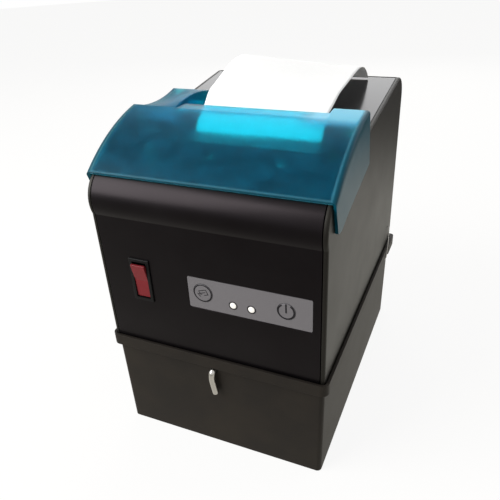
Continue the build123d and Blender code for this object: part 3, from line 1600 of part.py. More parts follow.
with BuildPart() as paper_web:
    with BuildSketch(side_plane(paper_left)):
        with BuildLine():
            outer = web_outline(1)
            inner = web_outline(-1)
            rise = platen_z + 6
            left = outer[3][0]
            right = inner[3][0]
            Line(outer[0], outer[1])
            ThreePointArc(outer[1], outer[2], outer[3])
            Polyline(
                outer[3],
                (left, rise),
                (bend_y, bend_z),
                (exit_y, exit_z),
                (exit_y, web_top_z),
                (exit_y + sheet, web_top_z),
                (exit_y + sheet, exit_z - 0.2),
                (bend_y + sheet, bend_z - 0.15),
                (right, rise),
                inner[3],
            )
            ThreePointArc(inner[3], inner[2], inner[1])
            Line(inner[1], inner[0])
            Line(inner[0], outer[0])
        make_face()
    extrude(amount=paper_width)
    with BuildSketch(Plane.XY.offset(web_gap_low)):
        with Locations((paper_centre_x, platen_y - 4)):
            Rectangle(paper_width + 2, 12)
    extrude(amount=web_gap_high - web_gap_low, mode=Mode.SUBTRACT)
paper_web.part.label = "paper_web"
export_step(paper_web.part, "parts/paper_web.step")

# The printed tail curls up and back over the lid, higher on its left edge. Each pair is a share of the
# way from the exit to the tail's end and the height above the lid there.
tail_start = (exit_y + 0.1, web_top_z + sheet + 0.1)
tail_end_y = lid_hinge_y - 3.5
tail_right_rise = [(0.1, 15.5), (0.35, 17.5), (0.73, 16.6), (0.92, 9.5), (1.0, 3.2)]
tail_left_rise = [(0.08, 21.0), (0.27, 25.3), (0.54, 27.8), (0.85, 14.0), (1.0, 3.0)]


def tail_edge(rises):
    """Points of one edge of the tail in the side view, from the exit slot to its rear end."""
    edge = [tail_start]
    for share, rise in rises:
        y = tail_start[0] + share * (tail_end_y - tail_start[0])
        edge.append((y, lid_top(y) + rise))
    return edge


def tail_section(edge_points):
    """Closed outline of a thin sheet: a smooth line and the same line one sheet thickness lower."""
    lower = [(y, z - sheet) for y, z in edge_points]
    Spline(*edge_points)
    Line(edge_points[-1], lower[-1])
    Spline(*reversed(lower))
    Line(lower[0], edge_points[0])


with BuildPart() as paper_tail:
    with BuildSketch(side_plane(paper_left)):
        with BuildLine():
            tail_section(tail_edge(tail_left_rise))
        make_face()
    with BuildSketch(side_plane(paper_right)):
        with BuildLine():
            tail_section(tail_edge(tail_right_rise))
        make_face()
    loft(ruled=True)
paper_tail.part.label = "paper_tail"
export_step(paper_tail.part, "parts/paper_tail.step")

# Main board, upright at the back
board_x = inner_half_x - 16.0
board_middle_z = seat_z + 64.0
board_half_z = 45.0
post_length = 5.0
with BuildPart() as printer_board:
    with BuildSketch(front_plane(inner_back_y - post_length)):
        with Locations((0, board_middle_z)):
            Rectangle(2 * board_x, 2 * board_half_z)
    extrude(amount=board_thickness)
printer_board.part.label = "printer_board"
export_step(printer_board.part, "parts/printer_board.step")

with BuildPart() as printer_board_posts:
    with BuildSketch(front_plane(inner_back_y)):
        with Locations((0, board_middle_z)):
            with GridLocations(2 * (board_x - 6), 2 * (board_half_z - 7), 2, 2):
                Circle(3)
    extrude(amount=post_length)
printer_board_posts.part.label = "printer_board_posts"
export_step(printer_board_posts.part, "parts/printer_board_posts.step")
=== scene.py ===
import math
from functools import partial

import bmesh
import bpy
import numpy as np
from mathutils import Matrix, Vector


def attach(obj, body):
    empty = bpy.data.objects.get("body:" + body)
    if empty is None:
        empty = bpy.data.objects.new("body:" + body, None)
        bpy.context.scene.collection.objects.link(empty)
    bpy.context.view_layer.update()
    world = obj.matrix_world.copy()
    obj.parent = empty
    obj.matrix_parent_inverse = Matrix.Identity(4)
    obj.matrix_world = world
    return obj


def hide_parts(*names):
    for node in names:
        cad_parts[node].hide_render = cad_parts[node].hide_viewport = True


bl_info = {
    "name": "Fiscal Receipt Printer",
    "version": (1, 0, 0),
    "blender": (4, 5, 0),
    "location": "View3D > Sidebar > Printer",
    "description": "Dresses the packed solids of a fiscal receipt printer, and sets its stage",
    "category": "Object",
}

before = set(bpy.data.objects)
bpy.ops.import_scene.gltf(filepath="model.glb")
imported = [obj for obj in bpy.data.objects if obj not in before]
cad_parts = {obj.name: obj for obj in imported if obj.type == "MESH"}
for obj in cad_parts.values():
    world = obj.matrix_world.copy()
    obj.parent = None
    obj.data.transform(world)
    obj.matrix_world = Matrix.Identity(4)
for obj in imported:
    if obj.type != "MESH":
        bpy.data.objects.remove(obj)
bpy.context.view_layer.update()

# Places and sizes are in millimetres, and become metres where a mesh, node or setting takes them.
MM = 0.001
X_AXIS, Y_AXIS = 0, 1


def linear(hex_code):
    """Turns an sRGB hex colour into the linear colour that a shader socket takes."""
    channels = np.array([int(hex_code[i : i + 2], 16) for i in (1, 3, 5)]) / 255.0
    low = channels / 12.92
    high = ((channels + 0.055) / 1.055) ** 2.4
    return (*np.where(channels <= 0.04045, low, high).tolist(), 1.0)


def in_mm(metres):
    """Millimetres of a setting, rounded, because Blender keeps settings in single precision."""
    return round(metres / MM, 4)


# Mesh helpers


def piece(name, points, faces, body, slot, material, smooth=True):
    """Puts points in millimetres and faces into a mesh, cleans it and lets it ride on a body."""
    mesh = bpy.data.meshes.new(name)
    mesh.from_pydata((np.asarray(points, float) * MM).tolist(), [], [list(f) for f in faces])
    work = bmesh.new()
    work.from_mesh(mesh)
    bmesh.ops.remove_doubles(work, verts=work.verts, dist=1e-6)
    bmesh.ops.dissolve_degenerate(work, edges=work.edges, dist=1e-7)
    bmesh.ops.recalc_face_normals(work, faces=work.faces)
    work.to_mesh(mesh)
    work.free()
    mesh.polygons.foreach_set("use_smooth", [smooth] * len(mesh.polygons))
    mesh.materials.append(material)
    thing = bpy.data.objects.new(name, mesh)
    bpy.context.scene.collection.objects.link(thing)
    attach(thing, body)
    return thing


def soften(thing, width, angle=35.0, segments=3):
    """Rounds the sharp edges of a piece by a width, and shades its flat faces flat."""
    bevel = thing.modifiers.new("rounded_edges", "BEVEL")
    bevel.width = width * MM
    bevel.segments = segments
    bevel.limit_method = "ANGLE"
    bevel.angle_limit = math.radians(angle)
    bevel.harden_normals = True


def quads(rows, columns, closed=False):
    """Faces of a grid of points, stored row by row. If closed, its last and first columns join."""
    row = np.arange(rows - 1)[:, None]
    column = np.arange(columns if closed else columns - 1)[None, :]
    after = (column + 1) % columns
    here, beyond = row * columns, (row + 1) * columns
    corners = np.stack([here + column, here + after, beyond + after, beyond + column], -1)
    return corners.reshape(-1, 4).tolist()


def skin(name, rings, *where, smooth=True):
    """Closed form through rings of points, its ends capped: rings[i, j] is point j of ring i."""
    count, around = rings.shape[:2]
    faces = quads(count, around, closed=True)
    faces.append(list(range(around))[::-1])
    faces.append(list(range((count - 1) * around, count * around)))
    return piece(name, rings.reshape(-1, 3), faces, *where, smooth=smooth)


def prism(name, axis, outline, low, high, *where):
    """A flat outline carried straight along X or Y from low to high. The outline's rows are the
    other level coordinate and Z."""
    rings = np.empty((2, len(outline), 3))
    rings[..., axis] = np.array([low, high])[:, None]
    rings[..., [1 - axis, 2]] = np.asarray(outline, float)
    return skin(name, rings, *where, smooth=False)


def shell(name, outer, inner, *where):
    """Closed wall between two grids of one size: both faces, and four borders that join them."""
    rows, columns = outer.shape[:2]
    total = rows * columns
    faces = quads(rows, columns)
    faces += [[index + total for index in face[::-1]] for face in quads(rows, columns)]
    top = np.arange(columns)
    bottom = top + (rows - 1) * columns
    left = np.arange(rows) * columns
    right = left + columns - 1
    for rim in (top[::-1], bottom, left, right[::-1]):
        faces += np.stack([rim[:-1], rim[1:], rim[1:] + total, rim[:-1] + total], -1).tolist()
    points = np.concatenate([outer.reshape(-1, 3), inner.reshape(-1, 3)])
    return piece(name, points, faces, *where)


def turned(name, axis, profile, centre, steps, *where):
    """Turned form about an axis along X or Y: the profile's rows are the radius and the way along,
    and the radius times a cosine and a sine gives the rest. A radius of 0 closes the form."""
    angle = np.linspace(0, 2 * np.pi, steps, endpoint=False)
    radius, along = np.asarray(profile, float).T[:, :, None]
    points = np.empty((len(profile), steps, 3))
    points[..., axis] = along
    points[..., 1 - axis] = centre[0] + radius * np.cos(angle)
    points[..., 2] = centre[1] + radius * np.sin(angle)
    return piece(name, points.reshape(-1, 3), quads(len(profile), steps, closed=True), *where)


def tube(name, path, radius, sides, *where):
    """Round bar along a path: at each point a circle in the plane square to the path there."""
    path = np.asarray(path, float)
    ahead = np.gradient(path, axis=0)
    ahead /= np.linalg.norm(ahead, axis=1)[:, None]
    # No path runs along this direction, so that its cross product with the path is never zero.
    elsewhere = np.array([0.9, 0.1, 0.15])
    level = np.cross(ahead, elsewhere)
    level /= np.linalg.norm(level, axis=1)[:, None]
    square = np.cross(ahead, level)
    angle = np.linspace(0, 2 * np.pi, sides, endpoint=False)[None, :, None]
    radius = np.broadcast_to(np.asarray(radius, float), (len(path),))[:, None, None]
    circle = np.cos(angle) * level[:, None] + np.sin(angle) * square[:, None]
    return skin(name, path[:, None] + radius * circle, *where)


def bent_line(corners, cut, steps=9):
    """Straight runs joined by arcs: each corner is cut back along both runs, and the two cuts are
    joined by a parabola that the corner pulls."""
    corners = np.asarray(corners, float)
    line = [corners[:1]]
    share = np.linspace(0, 1, steps)[:, None]
    for before, corner, after in zip(corners[:-2], corners[1:-1], corners[2:]):
        first = corner + (before - corner) / np.linalg.norm(before - corner) * cut
        last = corner + (after - corner) / np.linalg.norm(after - corner) * cut
        pull = 2 * share * (1 - share)
        line.append((1 - share) ** 2 * first + pull * corner + share**2 * last)
    line.append(corners[-1:])
    return np.concatenate(line)


def smooth_line(knots, count):
    """Smooth line through knots: a cubic between each two, whose slope at a knot is the mean of the
    steps on its two sides."""
    knots = np.asarray(knots, float)
    slope = np.gradient(knots, axis=0)
    place = np.linspace(0, len(knots) - 1, count)
    knot = np.minimum(place.astype(int), len(knots) - 2)
    t = (place - knot)[:, None]
    first, last = knots[knot], knots[knot + 1]
    rise, fall = slope[knot], slope[knot + 1]
    return (
        (2 * t**3 - 3 * t**2 + 1) * first
        + (t**3 - 2 * t**2 + t) * rise
        + (3 * t**2 - 2 * t**3) * last
        + (t**3 - t**2) * fall
    )


def bow(first, last, rise, along):
    """A straight line between two heights, plus a parabola of the given rise at its middle."""
    return first + (last - first) * along + 4 * rise * along * (1 - along)


# Material helpers


def add_node(tree, kind, settings=None, links=None):
    """Adds one node, its kind without "ShaderNode": settings go to its options or its sockets, and
    links join other nodes to its sockets, from a socket or else from a node's first output."""
    node = tree.nodes.new("ShaderNode" + kind)
    for key, value in (settings or {}).items():
        if isinstance(key, str) and hasattr(node, key):
            setattr(node, key, value)
        else:
            node.inputs[key].default_value = value
    for key, source in (links or {}).items():
        socket = source if isinstance(source, bpy.types.NodeSocket) else source.outputs[0]
        tree.links.new(socket, node.inputs[key])
    return node


def start(name):
    """Empty material, the function that adds a node to it, and the Object coordinates that every
    pattern reads."""
    material = bpy.data.materials.new(name)
    material.use_nodes = True
    material.node_tree.nodes.clear()
    add = partial(add_node, material.node_tree)
    return material, add, add("TexCoord").outputs["Object"]


def end(add, shader):
    """Joins the finished shader to the material's output."""
    add("OutputMaterial", links={"Surface": shader})


def grained_abs(name, colour, worn, roughness, grain_mm, depth_mm, level, gloss_tint):
    """Moulded ABS with a spark-eroded grain. It gives the eye a soft broken sheen and slight
    mottling."""
    material, add, place = start(name)
    grain = add("TexNoise", {"Scale": 1 / (grain_mm * MM), "Detail": 3.0}, {"Vector": place})
    # Handling polishes such a shell in patches of about 28 mm.
    cloud = add("TexNoise", {"Scale": 1 / (28 * MM), "Detail": 4.0}, {"Vector": place})
    blotch = add("MapRange", {"From Min": 0.35, "From Max": 0.7}, {"Value": cloud})
    tint = add("Mix", {"data_type": "RGBA", 6: colour, 7: linear(worn)}, {"Factor": blotch})
    gloss = add(
        "MapRange", {"To Min": roughness - 0.05, "To Max": roughness + 0.06}, {"Value": cloud}
    )
    bump = add("Bump", {"Strength": 0.5, "Distance": depth_mm * MM}, {"Height": grain})
    rounded = add("Bevel", {"samples": 4, "Radius": 0.6 * MM}, {"Normal": bump})
    shader = add(
        "BsdfPrincipled",
        {"IOR": 1.52, "Specular IOR Level": level, "Specular Tint": linear(gloss_tint)},
        {"Base Color": tint.outputs[2], "Roughness": gloss, "Normal": rounded},
    )
    end(add, shader)
    return material


def rolled_steel(name, colour, roughness, streak_mm):
    """Rolled sheet metal. It gives the eye long faint streaks along X."""
    material, add, place = start(name)
    stretch = add("Mapping", {"Scale": (0.04, 1.0, 1.0)}, {"Vector": place})
    streaks = add("TexNoise", {"Scale": 1 / (streak_mm * MM), "Detail": 3.0}, {"Vector": stretch})
    gloss = add(
        "MapRange", {"To Min": roughness - 0.08, "To Max": roughness + 0.1}, {"Value": streaks}
    )
    bump = add("Bump", {"Strength": 0.3, "Distance": 0.02 * MM}, {"Height": streaks})
    shader = add(
        "BsdfPrincipled",
        {"Base Color": colour, "Metallic": 1.0},
        {"Roughness": gloss, "Normal": bump},
    )
    end(add, shader)
    return material


def plain_moulding(name, colour, roughness, grain_mm=0.4, level=0.5):
    """Small moulded or potted part. It gives the eye an even colour with a fine skin."""
    material, add, place = start(name)
    grain = add("TexNoise", {"Scale": 1 / (grain_mm * MM), "Detail": 2.0}, {"Vector": place})
    bump = add("Bump", {"Strength": 0.25, "Distance": 0.02 * MM}, {"Height": grain})
    shader = add(
        "BsdfPrincipled",
        {"Base Color": colour, "Roughness": roughness, "IOR": 1.5, "Specular IOR Level": level},
        {"Normal": bump},
    )
    end(add, shader)
    return material


# The shares of red, green and blue that the teal dye lets through: a measure, not a colour seen.
DYE_PASSES = (0.0, 0.944, 0.978, 1.0)


def tinted_polycarbonate(name, colour, cloudy, deep, share, roughness, level, density):
    """Injection moulded teal polycarbonate: a clear wall with dye in it, mixed with a share of
    solid body. It gives the eye a satin skin, and pale things close behind it glow. Painted into
    its colour are a pale highlight along its roundings, a pale glow band at the rear right and
    deeper shade at its walls and lip."""
    material, add, place = start(name)
    grain = add("TexNoise", {"Scale": 1 / (1.1 * MM), "Detail": 3.0}, {"Vector": place})
    cloud = add("TexNoise", {"Scale": 1 / (9 * MM), "Detail": 4.0}, {"Vector": place})
    bump = add("Bump", {"Strength": 0.3, "Distance": 0.02 * MM}, {"Height": grain})
    gloss = add(
        "MapRange", {"To Min": roughness - 0.03, "To Max": roughness + 0.04}, {"Value": cloud}
    )
    blotch = add("MapRange", {"From Min": 0.35, "From Max": 0.65}, {"Value": cloud})
    # The speckle is drawn at 1.8 mm, coarser than the real grain, so that it shows.
    speck = add("TexNoise", {"Scale": 1 / (1.8 * MM), "Detail": 2.0}, {"Vector": place})
    mottle = add("Math", {"operation": "MULTIPLY_ADD", 1: 0.5}, {0: blotch, 2: speck})
    strength = add("MapRange", {"From Min": 0.3, "From Max": 1.2}, {"Value": mottle})
    tint = add("Mix", {"data_type": "RGBA", 6: colour, 7: linear(cloudy)}, {"Factor": strength})
    # Masks by place: each rises from 0 at the first place to its top at the last.
    axes = add("SeparateXYZ", links={"Vector": place})
    aside = add("Math", {"operation": "ABSOLUTE"}, {0: axes.outputs["X"]})
    x, y = axes.outputs["X"], axes.outputs["Y"]
    masks = ((aside, 70.6, 72.6, 1), (y, -90.8, -92.0, 1), (y, -47, -39, 0.8), (x, 36, 46, 1))
    wall, lip, rear, right = [
        add(
            "MapRange",
            {"From Min": first * MM, "From Max": last * MM, "To Max": top},
            {"Value": way},
        )
        for way, first, last, top in masks
    ]
    # In the side walls and on the front lip the eye looks along the wall, so the dye sits deeper;
    # the deeper colour there is also painted shade, which keeps these faces dark where the lamps
    # light them.
    edge = add("Math", {"operation": "MAXIMUM"}, {0: wall, 1: lip})
    tint = add("Mix", {"data_type": "RGBA", 7: linear(deep)}, {"Factor": edge, 6: tint.outputs[2]})
    # Painted highlight: the rounding between roof and wall, and between roof and lip, is painted as
    # a thin pale line where it would catch the light.
    halfway = add("Math", {"operation": "PINGPONG", 1: 0.5}, {0: edge})
    painted_edge_highlight = add("Math", {"operation": "MULTIPLY", 1: 0.42}, {0: halfway})
    # Painted glow: the roof's rear right corner lies over pale parts, and is painted as a pale band
    # for the light that they would send through it.
    painted_glow_band = add("Math", {"operation": "MULTIPLY"}, {0: rear, 1: right})
    corner = add("Math", {"operation": "SUBTRACT", "use_clamp": True}, {0: painted_glow_band, 1: wall})
    # The painted highlight and the painted glow are laid into the colour as one pale teal.
    pale = add("Math", {"operation": "MAXIMUM"}, {0: painted_edge_highlight, 1: corner})
    tint = add(
        "Mix", {"data_type": "RGBA", 7: linear("#7fcfe4")}, {"Factor": pale, 6: tint.outputs[2]}
    )
    # The low IOR keeps the view through the wall from breaking up.
    clear = add(
        "BsdfPrincipled",
        {"Base Color": linear("#f3ffff"), "Transmission Weight": 1.0, "IOR": 1.12},
        {"Normal": bump, "Roughness": gloss},
    )
    body = add(
        "BsdfPrincipled",
        {"IOR": 1.5, "Specular IOR Level": level},
        {"Base Color": tint.outputs[2], "Normal": bump, "Roughness": gloss},
    )
    # The walls, the lip and the painted glow band take a larger share of solid body.
    thick = add("Math", {"operation": "MAXIMUM"}, {0: edge, 1: corner})
    solid = add("MapRange", {"To Min": share, "To Max": 0.85}, {"Value": thick})
    mixed = add("MixShader", links={0: solid, 1: clear, 2: body})
    # Light falls straight through the wall, so that what lies under it is lit in its colour.
    rays = add("LightPath")
    through = add("BsdfTransparent", {"Color": linear("#ffffff")})
    lit = add("MixShader", links={0: rays.outputs["Is Shadow Ray"], 1: mixed, 2: through})
    # The dye takes out red within a wall's 2 mm, and green along the 20 to 30 mm of an edge.
    dye = add("VolumeAbsorption", {"Color": DYE_PASSES, "Density": density})
    add("OutputMaterial", links={"Surface": lit, "Volume": dye})
    return material


def coated_paper(name, colour):
    """Coated thermal paper. It gives the eye a matt white with a trace of fibre cloud, and lets
    some light through."""
    material, add, place = start(name)
    fibre = add("TexNoise", {"Scale": 1 / (2.5 * MM), "Detail": 5.0}, {"Vector": place})
    tint = add("Mix", {"data_type": "RGBA", 6: colour, 7: linear("#fafaf8")}, {"Factor": fibre})
    front = add(
        "BsdfPrincipled",
        {"Roughness": 0.62, "IOR": 1.45, "Specular IOR Level": 0.25},
        {"Base Color": tint.outputs[2]},
    )
    glow = add("BsdfTranslucent", {"Color": linear("#f2f0ee")})
    mixed = add("MixShader", {0: 0.16}, {1: front, 2: glow})
    end(add, mixed)
    return material


def polished_steel(name, colour, roughness):
    """Drawn or ground bright steel. It gives the eye a clear line of reflection."""
    material, add, place = start(name)
    drag = add("TexNoise", {"Scale": 1 / (0.7 * MM), "Detail": 2.0}, {"Vector": place})
    gloss = add(
        "MapRange", {"To Min": roughness - 0.04, "To Max": roughness + 0.06}, {"Value": drag}
    )
    shader = add("BsdfPrincipled", {"Base Color": colour, "Metallic": 1.0}, {"Roughness": gloss})
    end(add, shader)
    return material


def printed_film(name, colour, dot_colour):
    """Screen printed polyester film. It gives the eye a flat satin grey with the faint dots of the
    screen, drawn at 0.5 mm so that they show."""
    material, add, place = start(name)
    dots = add("TexVoronoi", {"Scale": 1 / (0.5 * MM)}, {"Vector": place})
    tint = add(
        "Mix",
        {"data_type": "RGBA", 6: colour, 7: linear(dot_colour)},
        {"Factor": dots.outputs["Distance"]},
    )
    shader = add("BsdfPrincipled", {"Roughness": 0.42, "IOR": 1.5}, {"Base Color": tint.outputs[2]})
    end(add, shader)
    return material


def tinted_lens(name, colour, depth):
    """Moulded acrylic lens over a dull inside. It gives the eye a deep gloss with soft edges."""
    material, add, place = start(name)
    cloud = add("TexNoise", {"Scale": 1 / (6 * MM), "Detail": 2.0}, {"Vector": place})
    tint = add("Mix", {"data_type": "RGBA", 6: colour, 7: linear(depth)}, {"Factor": cloud})
    rounded = add("Bevel", {"samples": 4, "Radius": 0.5 * MM})
    shader = add(
        "BsdfPrincipled",
        {"Roughness": 0.3, "IOR": 1.5, "Specular IOR Level": 0.15},
        {"Base Color": tint.outputs[2], "Normal": rounded},
    )
    end(add, shader)
    return material


# Each finish: its maker, its colour, and the maker's other values in their order.
FINISHES = {
    "casing_abs": (grained_abs, "#0e0d0c", "#13110f", 0.44, 0.6, 0.03, 0.22, "#fffbee"),
    "panel_abs": (grained_abs, "#040304", "#070607", 0.3, 0.6, 0.01, 0.14, "#ffeef5"),
    "lid_abs": (grained_abs, "#121115", "#17161a", 0.17, 0.9, 0.006, 0.4, "#fdfdff"),
    "base_abs": (grained_abs, "#1d1a18", "#24201c", 0.5, 0.6, 0.04, 0.11, "#fffaf0"),
    "inner_abs": (plain_moulding, "#141414", 0.5),
    # For each polycarbonate the third colour is its deeper dye and painted shade at the walls and
    # the lip.
    "cover_polycarbonate": (
        tinted_polycarbonate, "#022f44", "#0a6c88", "#014050", 0.22, 0.36, 0.16, 1150.0
    ),
    "lever_polycarbonate": (
        tinted_polycarbonate, "#0b5a74", "#12748e", "#084a60", 0.45, 0.35, 0.12, 420.0
    ),
    "thermal_paper": (coated_paper, "#ffffff"),
    "wound_paper": (coated_paper, "#f1efec"),
    "card_core": (plain_moulding, "#a58c68", 0.8),
    "plated_steel": (polished_steel, "#bab7b2", 0.2),
    "blued_blade": (polished_steel, "#3a3c40", 0.3),
    "rolled_steel": (rolled_steel, "#a9aaab", 0.38, 1.2),
    "black_sheet": (rolled_steel, "#26282b", 0.45, 1.2),
    "motor_steel": (rolled_steel, "#8f9092", 0.42, 2.0),
    "sink_aluminium": (rolled_steel, "#4a4c50", 0.45, 0.9),
    "sintered_brass": (rolled_steel, "#b5935a", 0.4, 0.6),
    "ground_rubber": (plain_moulding, "#1a1a1a", 0.75, 0.3),
    "acetal_gear": (plain_moulding, "#1b1b1c", 0.4),
    "board_laminate": (plain_moulding, "#1d5a38", 0.35, 1.5),
    "ceramic": (plain_moulding, "#5a564e", 0.2),
    "key_film": (printed_film, "#5f5c60", "#626063"),
    "print_ink": (plain_moulding, "#1c1b1e", 0.6, 0.4, 0.1),
    "lamp_lens": (tinted_lens, "#f6f4f0", "#eae7e2"),
    "rocker_lens": (tinted_lens, "#702026", "#63191e"),
    "switch_nylon": (plain_moulding, "#0b0b0c", 0.45, 0.4, 0.15),
}

MATERIALS = {}


def finish(name):
    """The material of a finish, made when first asked for, in the sidebar's colour if any."""
    if name not in MATERIALS:
        maker, colour, *values = FINISHES[name]
        chosen = getattr(bpy.context.scene.printer_colours, name, linear(colour))
        MATERIALS[name] = maker(name, tuple(chosen), *values)
    return MATERIALS[name]


NODE_FINISH = {
    "casing_abs": ["upper_case"],
    "panel_abs": ["front_panel"],
    "lid_abs": ["paper_lid"],
    "base_abs": ["base_box"],
    "inner_abs": ["chassis_tray", "paper_bucket", "printer_board_posts", "fiscal_memory_block"],
    "cover_polycarbonate": ["front_cover"],
    "lever_polycarbonate": ["release_lever"],
    "thermal_paper": ["paper_web", "paper_tail"],
    "wound_paper": ["paper_roll"],
    "card_core": ["paper_core"],
    "plated_steel": [
        "latch_lever", "seal_wire", "lid_hinge_pin", "lever_pin", "platen_shaft", "idler_stud",
        "backup_battery",
    ],
    "blued_blade": ["fixed_blade", "moving_blade"],
    "black_sheet": ["mech_frame", "cutter_frame"],
    "rolled_steel": [
        "port_panel", "serial_port", "usb_port", "board_screws", "base_screws", "case_screws",
        "latch_cam", "head_springs", "lever_spring",
    ],
    "motor_steel": ["feed_motor", "cutter_motor"],
    "sink_aluminium": ["head_heatsink"],
    "sintered_brass": ["platen_bushes", "motor_pinion"],
    "ground_rubber": ["rubber_feet", "platen_rubber"],
    "acetal_gear": ["platen_gear", "idler_gear", "cutter_pinion"],
    "board_laminate": ["fiscal_board", "panel_board", "printer_board"],
    "ceramic": ["print_head"],
    "key_film": ["panel_label", "feed_button", "power_button"],
    "lamp_lens": ["status_lights"],
    "rocker_lens": ["power_rocker"],
    "switch_nylon": [
        "switch_housing", "latch_bush", "power_inlet", "drawer_port", "tact_switches",
        "paper_sensor",
    ],
}


# Settings that a user would change


class CoverSettings(bpy.types.PropertyGroup):
    """The sizes of the front cover"""

    half_width: bpy.props.FloatProperty(
        name="Half width", description="Half of the cover's width", unit="LENGTH", default=74.5 * MM
    )
    rise: bpy.props.FloatProperty(
        name="Rise", description="Rise of the arc over its chord", unit="LENGTH", default=5.5 * MM
    )
    wall: bpy.props.FloatProperty(
        name="Wall", description="Wall of the cover's roof", unit="LENGTH", default=2.3 * MM
    )
    corner: bpy.props.FloatProperty(
        name="Corner", description="Radius between roof and skirts", unit="LENGTH", default=1.8 * MM
    )


def colour_setting(label, colour):
    """A colour that the sidebar offers, with a hex colour as its default."""
    return bpy.props.FloatVectorProperty(
        name=label,
        description=f"Colour of the {label.lower()}",
        subtype="COLOR",
        size=4,
        default=linear(colour),
    )


class ColourSettings(bpy.types.PropertyGroup):
    """The colours of the main finishes, under the names of those finishes"""

    casing_abs: colour_setting("Casing", FINISHES["casing_abs"][1])
    panel_abs: colour_setting("Front panel", FINISHES["panel_abs"][1])
    lid_abs: colour_setting("Lid", FINISHES["lid_abs"][1])
    base_abs: colour_setting("Base", FINISHES["base_abs"][1])
    cover_polycarbonate: colour_setting("Cover", FINISHES["cover_polycarbonate"][1])
    lever_polycarbonate: colour_setting("Release lever", FINISHES["lever_polycarbonate"][1])
    key_film: colour_setting("Key label", FINISHES["key_film"][1])
    rocker_lens: colour_setting("Rocker", FINISHES["rocker_lens"][1])


class StageSettings(bpy.types.PropertyGroup):
    """The camera's lens, the light and the floor"""

    lens: bpy.props.FloatProperty(
        name="Lens", description="Focal length of the camera", unit="CAMERA", default=38.94
    )
    world: bpy.props.FloatProperty(
        name="Sky", description="Strength of the soft light from all round", default=0.44
    )
    behind: bpy.props.FloatProperty(
        name="Lamp behind", description="Power of the lamp behind", unit="POWER", default=4.4
    )
    left: bpy.props.FloatProperty(
        name="Lamp at the left", description="Power of the left lamp", unit="POWER", default=19.0
    )
    side: bpy.props.FloatProperty(
        name="Lamp at the side", description="Power of the right lamp", unit="POWER", default=0.8
    )
    floor_colour: colour_setting("Floor", "#efebe2")


class PRINTER_OT_finishes(bpy.types.Operator):
    """Gives every carried over solid the material of the real part"""

    bl_idname = "printer.finishes"
    bl_label = "Finishes of the solids"

    def execute(self, context):
        for name, nodes in NODE_FINISH.items():
            for node in nodes:
                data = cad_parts[node].data
                data.materials.clear()
                data.materials.append(finish(name))
        return {"FINISHED"}


# The cover in the side view: Y and Z of its front lip, its rear edge and its pivot.
COVER_LIP = (-92.2, 188.5)
COVER_REAR = (-25.5, 215.8)
COVER_PIVOT = (-79.5, 171.5)
# Y of the crease where the roof's rear part begins, and of that part's end left of the notch and
# in the notch. Right of the notch it ends at the rear edge.
CREASE = -39.0
LEFT_END = -38.0
NOTCH_END = -28.2
# X of the two sides of the notch for the paper, the width of the step at its left side, and X of
# the two columns beside its right side. The roof in it is never higher than NOTCH_TOP.
NOTCH_LEFT = -41.5
NOTCH_RIGHT = 52.2
LEFT_STEP = 0.35
SLANT = (53.6, 54.2)
NOTCH_TOP = 213.7
# Low edge of the skirts in the side view: the part that both share, then the rear of each.
SKIRT_FOOT = [(-86.1, 169.0), (-83.0, 168.0), (-79.2, 167.9), (-66.8, 171.7), (-50.9, 175.5)]
LEFT_FOOT = [*SKIRT_FOOT, (-44.0, 176.9), (-38.0, 178.3)]
RIGHT_FOOT = [*SKIRT_FOOT, (-33.1, 179.4), (-19.0, 182.8)]
# The skirts' wall, the front lip's wall as a share of the roof's, and the least inner corner.
SKIRT_WALL = 1.7
LIP_WALL_SHARE = 0.4
LEAST_CORNER = 0.6
# The inner face keeps this far from the pivot, clear of the nose when the cover turns.
NOSE_ROOM = 19.6
# Columns of the cover's grid down each skirt and round each corner, and the share of the way along
# the cover that lies before the crease.
SKIRT_COLUMNS = 9
CORNER_COLUMNS = 4
BEFORE_CREASE = 0.8
# A pivot is a short pin with its inner end's edge cut off: radius and X of its outline.
PIVOT = [(0, 72.6), (2.5, 72.6), (2.5, 70.4), (2.1, 70.0), (0, 70.0)]
PIVOT_STEPS = 48
# The casing's left cheek: X of its faces, Y of its ends, its gap under the arc, and Z of its foot
# at the front with its rise per millimetre.
CHEEK_SIDES = (-71.9, -70.2)
CHEEK_ENDS = (-82.0, -39.2)
CHEEK_GAP = 3.1
CHEEK_FOOT = 186.5
CHEEK_SLOPE = 0.18


def cover_arc(settings, y, inset=0.0):
    """Height of the cover's arc: a circle through its front and rear edges with the given rise."""
    front, rear = np.array(COVER_LIP), np.array(COVER_REAR)
    rise = in_mm(settings.rise)
    span = rear - front
    chord = np.linalg.norm(span)
    radius = (chord**2 / 4 + rise**2) / (2 * rise)
    drop = (radius - rise) / chord
    centre = (front + rear) / 2 + drop * np.array([span[1], -span[0]])
    return centre[1] + np.sqrt((radius - inset) ** 2 - (y - centre[0]) ** 2)


